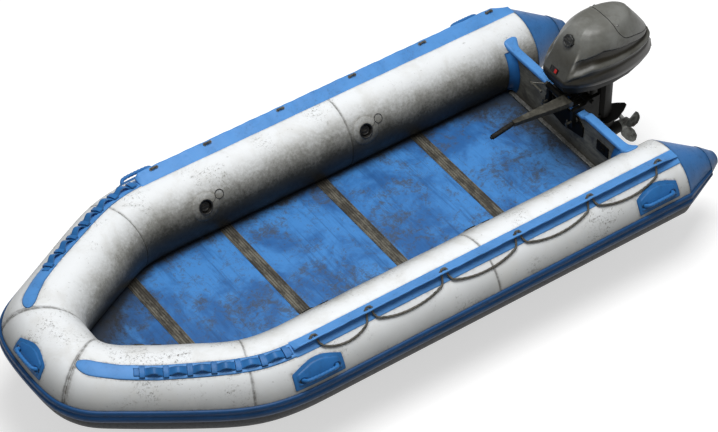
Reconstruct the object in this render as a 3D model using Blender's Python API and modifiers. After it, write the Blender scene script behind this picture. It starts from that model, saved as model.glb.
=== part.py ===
"""Inflatable boat with a boarded floor and an outboard motor.

Metres, +Z up.  The bow points along -Y, the motor hangs at +Y, and port is +X.
The origin lies under the keel, at the lowest point of the bottom skin.
"""

import math

import bmesh
import bpy
from mathutils import Matrix, Vector

# Clearances
GAP = 0.0003
SKIN_GAP = 0.0006
PATCH_GAP = 0.0012
EDGE_GAP = 0.0015
OVERRUN = 0.004

# Side tubes and their path in plan
HALF_BEAM = 0.700
TUBE_RADIUS = 0.230
BOW_RADIUS = 0.214
BOW_TAPER_START = -0.900
BOW_TAPER_LENGTH = 1.000
STERN_Y = 1.699
MID_SEAM_Y = 0.364
BOW_CURVE_Y = -0.250
BOW_REACH = 1.625
BOW_RISE = 0.072
BOW_RISE_START = -0.748
SIDE_SEAM_S = 1.080
NOSE_SEAM_S = 0.235
BOW_INNER_BEND = ((0.0, 0.0, -1.652), (0.240, 0.072, -1.648), (0.340, 0.110, -1.630), (0.420, 0.147, -1.592), (0.500, 0.191, -1.523))
TUBE_SIDES = 24
SPAN_STEPS = (1, 2, 3, 4, 4, 4)
BOW_OUT_SHARES = (1.0, 1.0, 1.0, 1.004, 0.827, 0.402, 0.348)
BOW_FORE_SHARES = (-0.185, 0.0, 0.2615, 0.492, 0.637, 0.957, 0.997)

# Stern cones
CONE_SEAM_LENGTH = 0.270
CONE_LENGTH = 0.360
CONE_SEAM_RADIUS = 0.096
CONE_TIP_RADIUS = 0.040
CONE_DROP = 0.045
CONE_CAP_WALL = 0.004
CONE_DOME_LENGTH = 0.014
CONE_DOME_SHARES = ((0.55, 0.80), (1.0, 0.35))

# Bottom skin and keel
SKIN_WALL = 0.004
SKIN_STAND = 0.0008
KEEL_DEPTH = 0.085
SKIN_TOP_ANGLE = -61.0
SKIN_EDGE_ANGLE = -120.0
SKIN_NOSE_S = 0.030
TUBE_Z = KEEL_DEPTH - (TUBE_RADIUS + SKIN_STAND + SKIN_WALL) * math.sin(math.radians(SKIN_EDGE_ANGLE))
KEEL_AFT_Y = 1.400
KEEL_FORE_Y = -1.000
KEEL_TAPER = 0.300
KEEL_TIP_SHARE = 0.45

# Floor: boards gripped by joints of H section
FLOOR_TOP_Z = 0.141
BOARD_THICKNESS = 0.012
JOINT_WIDTH = 0.076
JOINT_WALL = 0.003
JOINT_WEB = 0.006
JOINT_FRONTS_Y = (-1.190, -0.528, 0.128, 0.800)
FLOOR_AFT_GAP = 0.002
BOW_BOARD_SLOPE = 0.12
BOW_BOARD_TIP_S = 0.110

# Transom
TRANSOM_Y = 1.525
TRANSOM_THICKNESS = 0.035
TRANSOM_TOP_ANGLE = 136.0
TRANSOM_LOW_ANGLE = 236.0
NOTCH_HALF = 0.150
NOTCH_SLOPE = 0.050
NOTCH_DEPTH = 0.016
OUTER_PAD_HALF = 0.165
OUTER_PAD_THICKNESS = 0.0075
OUTER_PAD_BOTTOM = 0.150
CAP_WALL = 0.012
CAP_RISE = 0.020
CAP_LEG = 0.010
CAP_FLARE_FRONT = 0.016
CAP_FLARE_BACK = 0.032
CAP_FLARE_REACH = 0.044
CAP_FLARE_TOP = 0.040
FILLET = 0.045
FILLET_ANGLES = (150.0, 165.0, 180.0, 195.0, 205.0)
RAIL_SIDE_GAP = 0.205
RAIL_HALF = HALF_BEAM - RAIL_SIDE_GAP
RAIL_DEPTH = 0.026
RAIL_HEIGHT = 0.015
INNER_PAD_THICKNESS = 0.010
INNER_PAD_HALF = 0.177
INNER_PAD_TOP_HALF = 0.128
INNER_PAD_TOP = 0.400
INNER_PAD_SHOULDER = 0.360
INNER_PAD_SIDE_BOTTOM = 0.289
INNER_PAD_BOTTOM = 0.255
PLATE_X = 0.352
PLATE_Z = 0.333
PLATE_WIDTH = 0.105
PLATE_HEIGHT = 0.072
PLATE_THICKNESS = 0.006

# Rub strake: ribs as angle on the tube and height over it
STRAKE_TOP = 12.5
STRAKE_RIBS = ((12.5, 0.009), (10.5, 0.014), (7.0, 0.014), (5.5, 0.010), (3.0, 0.010),
               (1.5, 0.016), (-3.5, 0.016), (-5.0, 0.010), (-8.0, 0.008))
STRAKE_CHAFER_HEIGHT = 0.0035
STRAKE_CHAFER_ANGLES = (-9.0, -15.0, -30.0, -45.0, -60.0)

# Lifeline flap and its eyelets
FLAP_FRONT_Y = -0.889
FLAP_GUSSET = 0.020
FLAP_LOW_ANGLE = 60.0
FLAP_HIGH_ANGLE = 82.0
FLAP_TIP_OUT = 0.102
FLAP_TIP_UP = 0.263
FLAP_TIP_WALL = 0.006
FLAP_ROOT_ANGLE = 73.0
FLAP_ROOT_HEIGHT = 0.009
FLAP_BAND = 0.003
FLAP_TAIL = 0.110
FLAP_TAIL_SHARE = 0.16
EYELET_YS = (-0.772, -0.425, 0.074, 0.571, 1.070, 1.554)
EYELET_INSET = 0.017
EYELET_SPACING = 0.036

# Lifeline rope
ROPE_RADIUS = 0.006
EYELET_CLEARANCE = 0.0012
ROPE_OVER_FLAP = 0.0004
ROPE_TUCK_ANGLE = 64.0
ROPE_TUCK_HEIGHT = 0.0155
ROPE_SHOULDER_ANGLE = 59.0
ROPE_SHOULDER_HEIGHT = 0.0130
ROPE_SAG_ANGLE = 49.0
ROPE_SURFACE_HEIGHT = 0.0066
SWAG_SHARES = ((0.10, 0.30), (0.24, 0.73), (0.50, 1.0), (0.76, 0.76), (0.91, 0.30))

# Bow strips with belt loops and a strap
STRIP_FRONT_S = 0.262
STRIP_HALF_ANGLE = 11.0
STRIP_HEIGHT = 0.003
STRIP_END_SHARES = ((0.0, 0.45), (0.012, 0.75), (0.035, 1.0))
STRIP_WIDTH_SHARES = (-1.0, -0.5, 0.0, 0.5, 1.0)
STRIP_RELIEF_SHARE = 0.9
STRIP_TRACK = ((0.20, 70.0), (0.42, 67.0), (0.62, 66.0), (0.78, 68.0), (0.92, 70.0), (1.05, 71.5), (1.60, 71.5))
STRIP_REAR_CLEARANCE = 0.003
LOOP_COUNT = 7
LOOP_LAST_S = 1.275
LOOP_PITCH = 0.123
LOOP_LENGTH = 0.030
LOOP_HALF_ANGLE = 8.5
LOOP_HEIGHT = 0.013
STRAP_HALF_ANGLE = 5.0
STRAP_HEIGHT = 0.007
STRAP_TAIL = 0.055
STRAP_FRONT_S = LOOP_LAST_S - (LOOP_COUNT - 1) * LOOP_PITCH - STRAP_TAIL
STRAP_REAR_S = LOOP_LAST_S + LOOP_LENGTH

# Moulded lifting handles
HANDLE_HALF_LENGTH = 0.143
HANDLE_SIDE_HEIGHT = 0.100
HANDLE_DOME_HEIGHT = 0.141
HANDLE_BASE = 0.004
HANDLE_CELLS = 4
HANDLE_FIELD = 0.009
HANDLE_FIELD_INSET = 0.024
HANDLE_LOW_ANGLE = 17.0
BOW_HANDLE_LOW_ANGLE = 20.0
BOW_HANDLE_SHARE = 0.86
BAIL_UP = 0.046
BAIL_HALF_LENGTH = 0.092
BAIL_RADIUS = 0.0085
BAIL_STAND = 0.036
BAIL_CORNER = 0.026
HANDLE_OUTLINE_SHARES = ((-1.0, 0.0), (-0.93, 0.10), (-0.62, 0.55), (-0.30, 0.90), (0.0, 1.0),
                         (0.30, 0.90), (0.62, 0.55), (0.93, 0.10), (1.0, 0.0))
HANDLE_YS = (-0.804, 1.479)

# Valves
VALVE_YS = (-0.623, 0.466)
VALVE_ANGLE = 153.0
BOW_VALVE_S = 0.520
VALVE_POCKET_RADIUS = 0.038
VALVE_POCKET_DEPTH = 0.024
VALVE_CAP_RADIUS = 0.030
VALVE_CAP_HEIGHT = 0.014
VALVE_GRIP_WIDTH = 0.008
VALVE_GRIP_HEIGHT = 0.008
VALVE_GRIP_SHARE = 1.5

# Clamp bracket on the transom
BRACKET_X = 0.112
BRACKET_WALL = 0.024
BRACKET_FRONT_Y = 1.478
BRACKET_LEG = 0.025
BRACKET_LEG_BOTTOM = 0.345
BRACKET_TOP_Z = 0.505
BRACKET_HOOK_Z = 0.478
BRACKET_HOOK_LENGTH = 0.090
BRACKET_REAR_Y = 1.672
BRACKET_LOW_Z = 0.205
BRACKET_LOW_DEPTH = 0.045
TILT_Y = 1.612
TILT_Z = 0.484
TILT_RADIUS = 0.013
TILT_HALF = 0.140
PIN_Y = 1.655
PIN_Z = 0.240
PIN_RADIUS = 0.006
CLAMP_SCREW_Z = 0.385
CLAMP_SCREW_RADIUS = 0.007
CLAMP_FOOT_RADIUS = 0.017
CLAMP_FOOT = 0.006
CLAMP_SCREW_FRONT = 0.040
CLAMP_BAR_HALF = 0.030
CLAMP_BAR_RADIUS = 0.005
CLAMP_BAR_INSET = 0.0035

# Swivel bracket and steering axis
STEER_Y = 1.712
SWIVEL_RADIUS = 0.030
SWIVEL_TOP_Z = 0.516
SWIVEL_LOW_Z = 0.225
SWIVEL_EAR_RADIUS = 0.024
SWIVEL_EAR_HALF = 0.096
SWIVEL_WEB = 0.034
STEER_PIN_RADIUS = 0.016

# Drive leg, steering arm and lower pan
LEG_FRONT_Y = 1.760
LEG_REAR_Y = 1.872
LEG_HALF = 0.040
LEG_LOW_Z = 0.190
ARM_LOW_Z = 0.520
ARM_HEIGHT = 0.022
ARM_HALF = 0.041
KNUCKLE_Y = 1.462
KNUCKLE_Z = 0.531
KNUCKLE_RADIUS = 0.019
KNUCKLE_PORT_X = 0.042
KNUCKLE_STARBOARD_X = -0.093
PAN_SPLIT_Z = 0.660
SPLIT_GAP = 0.0006
COWL_HALF_WIDTH = 0.205
COWL_FRONT_Y = 1.415
COWL_REAR_Y = 2.105
COWL_BOTTOM_Z = 0.578
COWL_TOP_Z = 0.980
PLAN_SHARES = ((0.0, 0.0), (0.0, 0.46), (0.10, 0.72), (0.26, 0.93), (0.46, 1.0), (0.66, 0.93),
               (0.84, 0.74), (0.95, 0.48), (1.0, 0.22), (1.0, 0.0))
PAN_SHARES = ((0.0, 0.593, 0.158, 0.838), (0.22, 0.803, 0.045, 0.925), (1.0, 0.94, 0.0, 0.99))
COWL_SHARES = ((0.0, 0.95, 0.0, 0.985), (0.10, 1.0, 0.0, 0.96), (0.34, 0.96, 0.059, 0.935), (0.38, 0.92, 0.070, 0.915),
               (0.66, 0.85, 0.141, 0.845), (0.86, 0.66, 0.190, 0.775), (0.97, 0.50, 0.254, 0.735), (1.0, 0.30, 0.310, 0.70))
PANEL_X = -0.007
PANEL_Z = 0.722
PANEL_WIDTH = 0.070
PANEL_HEIGHT = 0.034
PANEL_STAND = 0.004
STOP_OFFSET = 0.018
STOP_RADIUS = 0.0085
STOP_HEIGHT = 0.006
STOP_TRAVEL = 0.003
KNOB_Z = 0.898
KNOB_RADIUS = 0.040
KNOB_DEPTH = 0.026
KNOB_LOBES = 8
KNOB_LOBE_SHARE = 0.10
FACE_SINK = 0.003

# Gearcase and propeller
PROP_Z = 0.020
TORPEDO_FRONT_Y = 1.700
TORPEDO_REAR_Y = 1.945
TORPEDO_RADIUS = 0.042
TORPEDO_SHARES = ((0.0, 0.02), (0.05, 0.35), (0.16, 0.68), (0.34, 0.93), (0.55, 1.0), (0.85, 0.95), (1.0, 0.86))
FIN_FRONT_Y = LEG_FRONT_Y
FIN_SETBACK = 0.040
FIN_REAR_Y = TORPEDO_REAR_Y - FIN_SETBACK
FIN_HALF = 0.016
PLATE_FIN_Z = 0.176
PLATE_FIN_LEAD = 0.030
PLATE_FIN_TRAIL = 0.080
PLATE_FIN_FRONT_Y = FIN_FRONT_Y - PLATE_FIN_LEAD
PLATE_FIN_REAR_Y = FIN_REAR_Y + PLATE_FIN_TRAIL
PLATE_FIN_HALF = 0.078
PLATE_FIN_WALL = 0.010
SKEG_BOTTOM_Z = -0.150
SKEG_SETBACK = 0.025
SKEG_WALL = 0.010
SKEG_REAR_Y = FIN_REAR_Y - SKEG_WALL / 2.0
SKEG_FRONT_Y = FIN_FRONT_Y + SKEG_SETBACK
HUB_LENGTH = 0.085
HUB_RADIUS = 0.035
PROP_RADIUS = 0.140
BLADE_COUNT = 3
BLADE_TURN = -48.0
BLADE_WALL = 0.005
BLADE_RAKE = 0.032
BLADE_SHARES = ((0.20, 0.34, 62.0), (0.45, 0.62, 48.0), (0.72, 0.70, 36.0), (0.92, 0.46, 30.0), (1.0, 0.18, 28.0))

# Tiller, grip, lever and cable
TILLER_X = 0.062
TILLER_END_Y = 1.092
TILLER_END_Z = 0.539
TILLER_ROOT_HALF = 0.019
TILLER_END_HALF = 0.015
TILLER_END_DEEP = 0.013
GRIP_LENGTH = 0.150
GRIP_RADIUS = 0.016
GRIP_DROP_DEGREES = 11.0
GRIP_RIBS = 8
GRIP_RIB = 0.0015
GRIP_COLLAR = 0.014
GRIP_BUTTON_RADIUS = 0.010
GRIP_BUTTON_LENGTH = 0.010
LEVER_RADIUS = 0.006
LEVER_BAR_RADIUS = 0.0085
LEVER_HUB_RADIUS = 0.014
LEVER_HUB_LENGTH = 0.016
LEVER_OUT = 0.066
LEVER_FORE = 0.070
LEVER_BAR_LENGTH = 0.094
CABLE_RADIUS = 0.003
CABLE_ROUTE = ((0.118, 1.560, 0.5870), (0.113, 1.545, 0.5760), (0.105, 1.530, 0.5640), (0.094, 1.512, 0.5460),
               (0.089, 1.494, 0.5260), (0.086, 1.477, 0.5110), (0.080, 1.464, 0.5050), (0.072, 1.455, 0.5055))

DEGREE = math.pi / 180.0
SECTION_STEP = 360.0 / TUBE_SIDES
PORT = 1
STARBOARD = -1
SIDE_NAMES = {PORT: "port", STARBOARD: "starboard"}
TRANSOM_BACK_Y = TRANSOM_Y + TRANSOM_THICKNESS
CONE_SEAM_Y = STERN_Y + CONE_SEAM_LENGTH
CONE_TIP_Y = STERN_Y + CONE_LENGTH
FLOOR_BOTTOM_Z = FLOOR_TOP_Z - BOARD_THICKNESS

COLOURS = {
    "tube_white": ((0.86, 0.87, 0.88), 0.45, 0.0),
    "blue": ((0.10, 0.33, 0.66), 0.45, 0.0),
    "dark_blue": ((0.03, 0.11, 0.24), 0.50, 0.0),
    "hull_black": ((0.02, 0.02, 0.02), 0.60, 0.0),
    "board_blue": ((0.08, 0.28, 0.60), 0.55, 0.0),
    "joint_grey": ((0.16, 0.15, 0.13), 0.50, 0.6),
    "board_grey": ((0.14, 0.13, 0.12), 0.70, 0.0),
    "rope_grey": ((0.14, 0.13, 0.11), 0.85, 0.0),
    "black": ((0.02, 0.02, 0.02), 0.50, 0.0),
    "cowl_grey": ((0.12, 0.115, 0.10), 0.40, 0.0),
    "motor_black": ((0.03, 0.03, 0.027), 0.40, 0.5),
    "bracket_grey": ((0.12, 0.12, 0.115), 0.40, 0.8),
    "prop_grey": ((0.30, 0.30, 0.29), 0.35, 0.8),
    "steel": ((0.45, 0.45, 0.44), 0.30, 1.0),
    "red": ((0.60, 0.03, 0.02), 0.40, 0.0),
}


def clear_scene():
    """Remove what the scene holds before the boat is built."""
    for item in list(bpy.data.objects):
        bpy.data.objects.remove(item, do_unlink=True)


def collection(name):
    """A collection of the scene, made once."""
    found = bpy.data.collections.get(name)
    if found is None:
        found = bpy.data.collections.new(name)
        bpy.context.scene.collection.children.link(found)
    return found


def material(name):
    """A Principled material with the piece's colour, roughness and metallic value."""
    found = bpy.data.materials.get(name)
    if found is None:
        colour, roughness, metallic = COLOURS[name]
        found = bpy.data.materials.new(name)
        found.use_nodes = True
        shader = found.node_tree.nodes["Principled BSDF"]
        shader.inputs["Base Color"].default_value = (*colour, 1.0)
        shader.inputs["Roughness"].default_value = roughness
        shader.inputs["Metallic"].default_value = metallic
    return found


def place(name, mesh, finish, matrix=None):
    """Put a mesh in the boat's collection under its node's name."""
    mesh.materials.clear()
    mesh.materials.append(material(finish))
    item = bpy.data.objects.new(name, mesh)
    collection("inflatable_boat").objects.link(item)
    item.matrix_world = matrix or Matrix()
    mesh.shade_smooth()
    mesh.set_sharp_from_angle(angle=35.0 * DEGREE)
    return item


def mesh_of(name, shape):
    """Turn a bmesh into a named mesh with its faces pointing out."""
    bmesh.ops.recalc_face_normals(shape, faces=shape.faces)
    mesh = bpy.data.meshes.new(name)
    shape.to_mesh(mesh)
    shape.free()
    return mesh


def loft(name, sections, finish, matrix=None):
    """A closed body through sections that have the same number of points.

    Every four-sided cell is split along the same diagonal, so that bodies which lie on one
    another have parallel faces.
    """
    shape = bmesh.new()
    rings = [[shape.verts.new(point) for point in section] for section in sections]
    count = len(rings[0])
    for near, far in zip(rings, rings[1:]):
        for i in range(count):
            j = (i + 1) % count
            shape.faces.new((near[i], near[j], far[j]))
            shape.faces.new((near[i], far[j], far[i]))
    shape.faces.new(rings[0])
    shape.faces.new(rings[-1])
    return place(name, mesh_of(name, shape), finish, matrix)


def box(name, size, centre, finish, bevel=0.0):
    """A box from the cube primitive, with its edges rounded where a bevel is given."""
    shape = bmesh.new()
    bmesh.ops.create_cube(shape, size=1.0, matrix=Matrix.Diagonal((*size, 1.0)))
    item = place(name, mesh_of(name, shape), finish, Matrix.Translation(centre))
    if bevel:
        rounding = item.modifiers.new("rounding", "BEVEL")
        rounding.width = bevel
        rounding.segments = 2
    return item


def cylinder(name, radius, length, matrix, finish, sides=16, end_radius=None):
    """A cylinder or cone from its primitive, standing on the matrix's XY plane."""
    shape = bmesh.new()
    lift = Matrix.Translation((0.0, 0.0, length / 2.0))
    bmesh.ops.create_cone(shape, cap_ends=True, segments=sides, radius1=radius,
                          radius2=radius if end_radius is None else end_radius, depth=length, matrix=lift)
    return place(name, mesh_of(name, shape), finish, matrix)


def turned(name, profile, matrix, finish, steps=16):
    """A turned body: a profile of radius and height, from top to bottom, with a Screw modifier."""
    mesh = bpy.data.meshes.new(name)
    edges = [(i, i + 1) for i in range(len(profile) - 1)]
    mesh.from_pydata([(radius, 0.0, height) for radius, height in profile], edges, [])
    item = place(name, mesh, finish, matrix)
    screw = item.modifiers.new("turning", "SCREW")
    screw.steps = steps
    screw.render_steps = steps
    screw.use_merge_vertices = True
    screw.merge_threshold = 0.00001
    screw.use_smooth_shade = True
    return item


def solid_mesh(item, name, finish):
    """The evaluated curve as a closed mesh object in its place."""
    graph = bpy.context.evaluated_depsgraph_get()
    graph.update()
    mesh = bpy.data.meshes.new_from_object(item.evaluated_get(graph))
    shape = bmesh.new()
    shape.from_mesh(mesh)
    bmesh.ops.remove_doubles(shape, verts=shape.verts, dist=0.00001)
    matrix = item.matrix_world.copy()
    bpy.data.objects.remove(item, do_unlink=True)
    return place(name, mesh_of(name, shape), finish, matrix)


def plate(name, outline, thickness, matrix, finish):
    """A flat outline in the matrix's XY plane, thickened evenly on both sides."""
    curve = bpy.data.curves.new(name, "CURVE")
    curve.dimensions = "2D"
    curve.fill_mode = "BOTH"
    curve.extrude = thickness / 2.0
    spline = curve.splines.new("POLY")
    spline.points.add(len(outline) - 1)
    for point, (x, y) in zip(spline.points, outline):
        point.co = (x, y, 0.0, 1.0)
    spline.use_cyclic_u = True
    item = bpy.data.objects.new(name + "_curve", curve)
    collection("inflatable_boat").objects.link(item)
    item.matrix_world = matrix
    return solid_mesh(item, name, finish)


def rod(name, points, radius, finish, resolution=2):
    """A round rod or rope along points, with closed ends."""
    curve = bpy.data.curves.new(name, "CURVE")
    curve.dimensions = "3D"
    curve.bevel_depth = radius
    curve.bevel_resolution = resolution
    curve.use_fill_caps = True
    spline = curve.splines.new("POLY")
    spline.points.add(len(points) - 1)
    for point, place_at in zip(spline.points, points):
        point.co = (*place_at, 1.0)
    item = bpy.data.objects.new(name + "_curve", curve)
    collection("inflatable_boat").objects.link(item)
    return solid_mesh(item, name, finish)


def combine(item, tool, operation):
    """Join a tool to a body, or cut it out, and put the tool among the cutters."""
    step = item.modifiers.new(operation.lower(), "BOOLEAN")
    step.operation = operation
    step.solver = "EXACT"
    step.object = tool
    for owner in list(tool.users_collection):
        owner.objects.unlink(tool)
    collection("cutters").objects.link(tool)
    tool.hide_render = True
    tool.display_type = "WIRE"


def along_y():
    """A matrix whose Z axis points aft, along +Y, and whose Y axis points down."""
    return Matrix.Rotation(-math.pi / 2.0, 4, "X")


def along_x():
    """A matrix whose Z axis points to port, along +X."""
    return Matrix.Rotation(math.pi / 2.0, 4, "Y")


def upright(y):
    """A matrix for outlines in X and Z that stand across the boat at y."""
    return Matrix.Translation((0.0, y, 0.0)) @ Matrix.Rotation(math.pi / 2.0, 4, "X")


def sideways(x):
    """A matrix for outlines in Y and Z that stand along the boat at x."""
    turn = Matrix(((0, 0, 1, x), (1, 0, 0, 0), (0, 1, 0, 0), (0, 0, 0, 1)))
    return turn


def spline_point(control, share):
    """A point of the uniform cubic B-spline over four control points."""
    t = share
    weights = ((1 - t) ** 3, 3 * t ** 3 - 6 * t ** 2 + 4, -3 * t ** 3 + 3 * t ** 2 + 3 * t + 1, t ** 3)
    x = sum(w * p[0] for w, p in zip(weights, control)) / 6.0
    y = sum(w * p[1] for w, p in zip(weights, control)) / 6.0
    return x, y


def plan_points():
    """The tubes' centreline in plan, from the port cone's tip round the bow to the starboard one's."""
    shares = zip(BOW_OUT_SHARES, BOW_FORE_SHARES)
    half = [(HALF_BEAM * out, BOW_CURVE_Y - BOW_REACH * fore) for out, fore in shares]
    control = half + [(-x, y) for x, y in reversed(half)]
    bow = []
    for k, steps in enumerate(SPAN_STEPS + SPAN_STEPS[-2::-1]):
        bow += [spline_point(control[k:k + 4], i / steps) for i in range(steps)]
    bow.append(spline_point(control[-4:], 1.0))
    stern = [(HALF_BEAM, CONE_TIP_Y), (HALF_BEAM, CONE_SEAM_Y), (HALF_BEAM, STERN_Y)]
    return stern + bow + [(-x, y) for x, y in reversed(stern)]


class TubePath:
    """The tubes' faceted surface, as points at a length, an angle and a height.

    s is the length in plan from the middle of the bow, positive to port.  The angle is
    0 degrees on the outer side, 90 on top and 180 on the inner side.
    """

    def __init__(self):
        plan = plan_points()
        nose = min(y for x, y in plan)
        lengths = [0.0]
        for (x0, y0), (x1, y1) in zip(plan, plan[1:]):
            lengths.append(lengths[-1] + math.hypot(x1 - x0, y1 - y0))
        self.s = [lengths[-1] / 2.0 - length for length in lengths]
        self.centre = [Vector((x, y, self.height_at(y, nose))) for x, y in plan]
        self.radius = [self.radius_at(y) for x, y in plan]
        self.out = []
        for i in range(len(plan)):
            before = self.centre[max(i - 1, 0)]
            after = self.centre[min(i + 1, len(plan) - 1)]
            run = after - before
            self.out.append(Vector((-run.y, run.x, 0.0)).normalized())
        self.wide = list(self.radius)
        for i, s in enumerate(self.s):
            if abs(s) < BOW_INNER_BEND[-1][0]:
                self.widen(i, s)

    def widen(self, i, s):
        """Set one bow section between the outer side and the corner on the inner side."""
        outer = self.centre[i] + self.out[i] * self.radius[i]
        for (s0, x0, y0), (s1, x1, y1) in zip(BOW_INNER_BEND, BOW_INNER_BEND[1:]):
            if abs(s) <= s1:
                share = (abs(s) - s0) / (s1 - s0)
                break
        x = math.copysign(x0 + (x1 - x0) * share, s)
        inner = Vector((x, y0 + (y1 - y0) * share, outer.z))
        self.centre[i] = (outer + inner) / 2.0
        self.wide[i] = (outer - inner).length / 2.0
        self.out[i] = (outer - inner).normalized()

    @staticmethod
    def height_at(y, nose):
        if y > STERN_Y:
            return TUBE_Z - CONE_DROP * (y - STERN_Y) / CONE_LENGTH
        rise = max(0.0, (BOW_RISE_START - y) / (BOW_RISE_START - nose))
        return TUBE_Z + BOW_RISE * rise ** 2

    @staticmethod
    def radius_at(y):
        if y >= CONE_TIP_Y:
            return CONE_TIP_RADIUS
        if y > STERN_Y:
            return CONE_SEAM_RADIUS
        taper = min(1.0, max(0.0, (BOW_TAPER_START - y) / BOW_TAPER_LENGTH))
        return TUBE_RADIUS + (BOW_RADIUS - TUBE_RADIUS) * taper

    def cell(self, s):
        """The stretch between two stations that holds s, and the share of it."""
        for i in range(len(self.s) - 1):
            if s >= self.s[i + 1] or i == len(self.s) - 2:
                return i, (self.s[i] - s) / (self.s[i] - self.s[i + 1])

    def point(self, s, angle, height=0.0, faceted=True):
        """A point over the faceted surface, or over the round one that encloses it."""
        i, share = self.cell(s)
        turn = angle * DEGREE
        step = SECTION_STEP * DEGREE
        facet = math.cos(step / 2.0) / math.cos(turn % step - step / 2.0) if faceted else 1.0
        ends = []
        for k in (i, i + 1):
            across = math.cos(turn) * (self.wide[k] * facet + height)
            up = math.sin(turn) * (self.radius[k] * facet + height)
            ends.append(self.centre[k] + self.out[k] * across + Vector((0.0, 0.0, up)))
        return ends[0].lerp(ends[1], share)

    def frame(self, s, angle, height=0.0):
        """A matrix on the surface: Z out of it, X along the tube."""
        i, share = self.cell(s)
        out = self.out[i].lerp(self.out[i + 1], share).normalized()
        turn = angle * DEGREE
        normal = out * math.cos(turn) + Vector((0.0, 0.0, math.sin(turn)))
        run = Vector((-out.y, out.x, 0.0))
        across = normal.cross(run)
        turned_to = Matrix((run, across, normal)).transposed().to_4x4()
        return Matrix.Translation(self.point(s, angle, height)) @ turned_to

    def stations(self, start, end):
        """Lengths from the higher to the lower with every station and bow seam between them."""
        low, high = min(start, end), max(start, end)
        marks = self.s + [way * seam for seam in (NOSE_SEAM_S, SIDE_SEAM_S) for way in (-1, 1)]
        inner = sorted((s for s in marks if low + GAP < s < high - GAP), reverse=True)
        return [high] + inner + [low]

    def s_at(self, y, side=PORT):
        """The length at which the straight side tube has a given y."""
        straight = 3
        return side * (self.s[straight] + y - self.centre[straight].y)

    def facet_angles(self, low, high):
        """The angles from low to high, with every edge of the faceted tube between them."""
        first = math.floor(low / SECTION_STEP) + 1
        last = math.ceil(high / SECTION_STEP) - 1
        edges = [k * SECTION_STEP for k in range(first, last + 1)]
        return [low] + [edge for edge in edges if low < edge < high] + [high]


PATH = TubePath()


def tube(name, start, end, finish):
    """A length of tube with a small gap to its neighbour at each end."""
    rings = []
    for s in PATH.stations(start - GAP / 2.0, end + GAP / 2.0):
        rings.append([PATH.point(s, k * SECTION_STEP) for k in range(TUBE_SIDES)])
    return loft(name, rings, finish)


def band(name, start, end, profile, finish):
    """A strip bonded along the tube: profile gives (angle, height) points at a length."""
    rings = []
    for s in PATH.stations(start, end):
        rings.append([PATH.point(s, angle, height) for angle, height in profile(s)])
    return loft(name, rings, finish)


def cone(side):
    """The blue stern cone with its rubber end cap."""
    s_border = PATH.s_at(STERN_Y)
    s_seam = s_border + CONE_SEAM_LENGTH
    s_tip = s_border + CONE_LENGTH
    rings = []
    for s, height in ((s_border + GAP / 2.0, 0.0), (s_seam - CONE_CAP_WALL, 0.0),
                      (s_seam, CONE_CAP_WALL), (s_tip, CONE_CAP_WALL)):
        rings.append([PATH.point(side * s, k * SECTION_STEP, height) for k in range(TUBE_SIDES)])
    tip = PATH.centre[0].copy()
    tip.x *= side
    for length_share, radius_share in CONE_DOME_SHARES:
        middle = tip + Vector((0.0, length_share * CONE_DOME_LENGTH, 0.0))
        rings.append([middle + (point - tip) * radius_share for point in rings[3]])
    loft(f"{SIDE_NAMES[side]}_cone", rings, "blue")


def tubes():
    """The nose, the two bow sides, and the two lengths of each straight side."""
    stern, middle = PATH.s_at(STERN_Y), PATH.s_at(MID_SEAM_Y)
    nose = tube("bow_tube", NOSE_SEAM_S, -NOSE_SEAM_S, "tube_white")
    for side in (PORT, STARBOARD):
        label = SIDE_NAMES[side]
        pieces = {}
        for part, low, high in (("bow_side_tube", NOSE_SEAM_S, SIDE_SEAM_S),
                                ("fore_tube", SIDE_SEAM_S, middle), ("aft_tube", middle, stern)):
            ends = sorted((side * low, side * high), reverse=True)
            pieces[part] = tube(f"{label}_{part}", ends[0], ends[1], "tube_white")
        for part, y in zip(("fore_tube", "aft_tube"), VALVE_YS):
            valve(f"{label}_{part}_valve_cap", pieces[part], PATH.s_at(y, side))
        if side == PORT:
            valve("bow_valve_cap", pieces["bow_side_tube"], BOW_VALVE_S)
        cone(side)
    return nose


def valve(name, body, s):
    """A recessed valve: its pocket in the tube, and a screwed cap with a grip bar."""
    base = PATH.frame(s, VALVE_ANGLE)
    sunk = base @ Matrix.Translation((0.0, 0.0, -VALVE_POCKET_DEPTH))
    cutter = cylinder(name + "_pocket", VALVE_POCKET_RADIUS, VALVE_POCKET_DEPTH + OVERRUN, sunk, "black", sides=16)
    combine(body, cutter, "DIFFERENCE")
    seat = sunk @ Matrix.Translation((0.0, 0.0, GAP))
    cap = cylinder(name, VALVE_CAP_RADIUS, VALVE_CAP_HEIGHT, seat, "black", sides=16)
    grip_length = VALVE_GRIP_SHARE * VALVE_CAP_RADIUS
    shape = bmesh.new()
    size = Matrix.Diagonal((grip_length, VALVE_GRIP_WIDTH, 2.0 * VALVE_GRIP_HEIGHT, 1.0))
    bmesh.ops.create_cube(shape, size=1.0, matrix=size)
    on_top = seat @ Matrix.Translation((0.0, 0.0, VALVE_CAP_HEIGHT))
    grip = place(name + "_grip", mesh_of(name + "_grip", shape), "black", on_top)
    combine(cap, grip, "UNION")


def strakes():
    """The ribbed rub strake of each half, with its chafer strip below."""
    def profile(s):
        inner = PATH.facet_angles(STRAKE_CHAFER_ANGLES[-1], STRAKE_TOP)
        chafer = [(angle, STRAKE_CHAFER_HEIGHT) for angle in STRAKE_CHAFER_ANGLES]
        return [(angle, SKIN_GAP) for angle in inner] + list(STRAKE_RIBS) + chafer

    rear = PATH.s_at(CONE_SEAM_Y) - 2.0 * CONE_CAP_WALL
    band("port_rub_strake", rear, GAP, profile, "dark_blue")
    band("starboard_rub_strake", -GAP, -rear, profile, "dark_blue")


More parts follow.
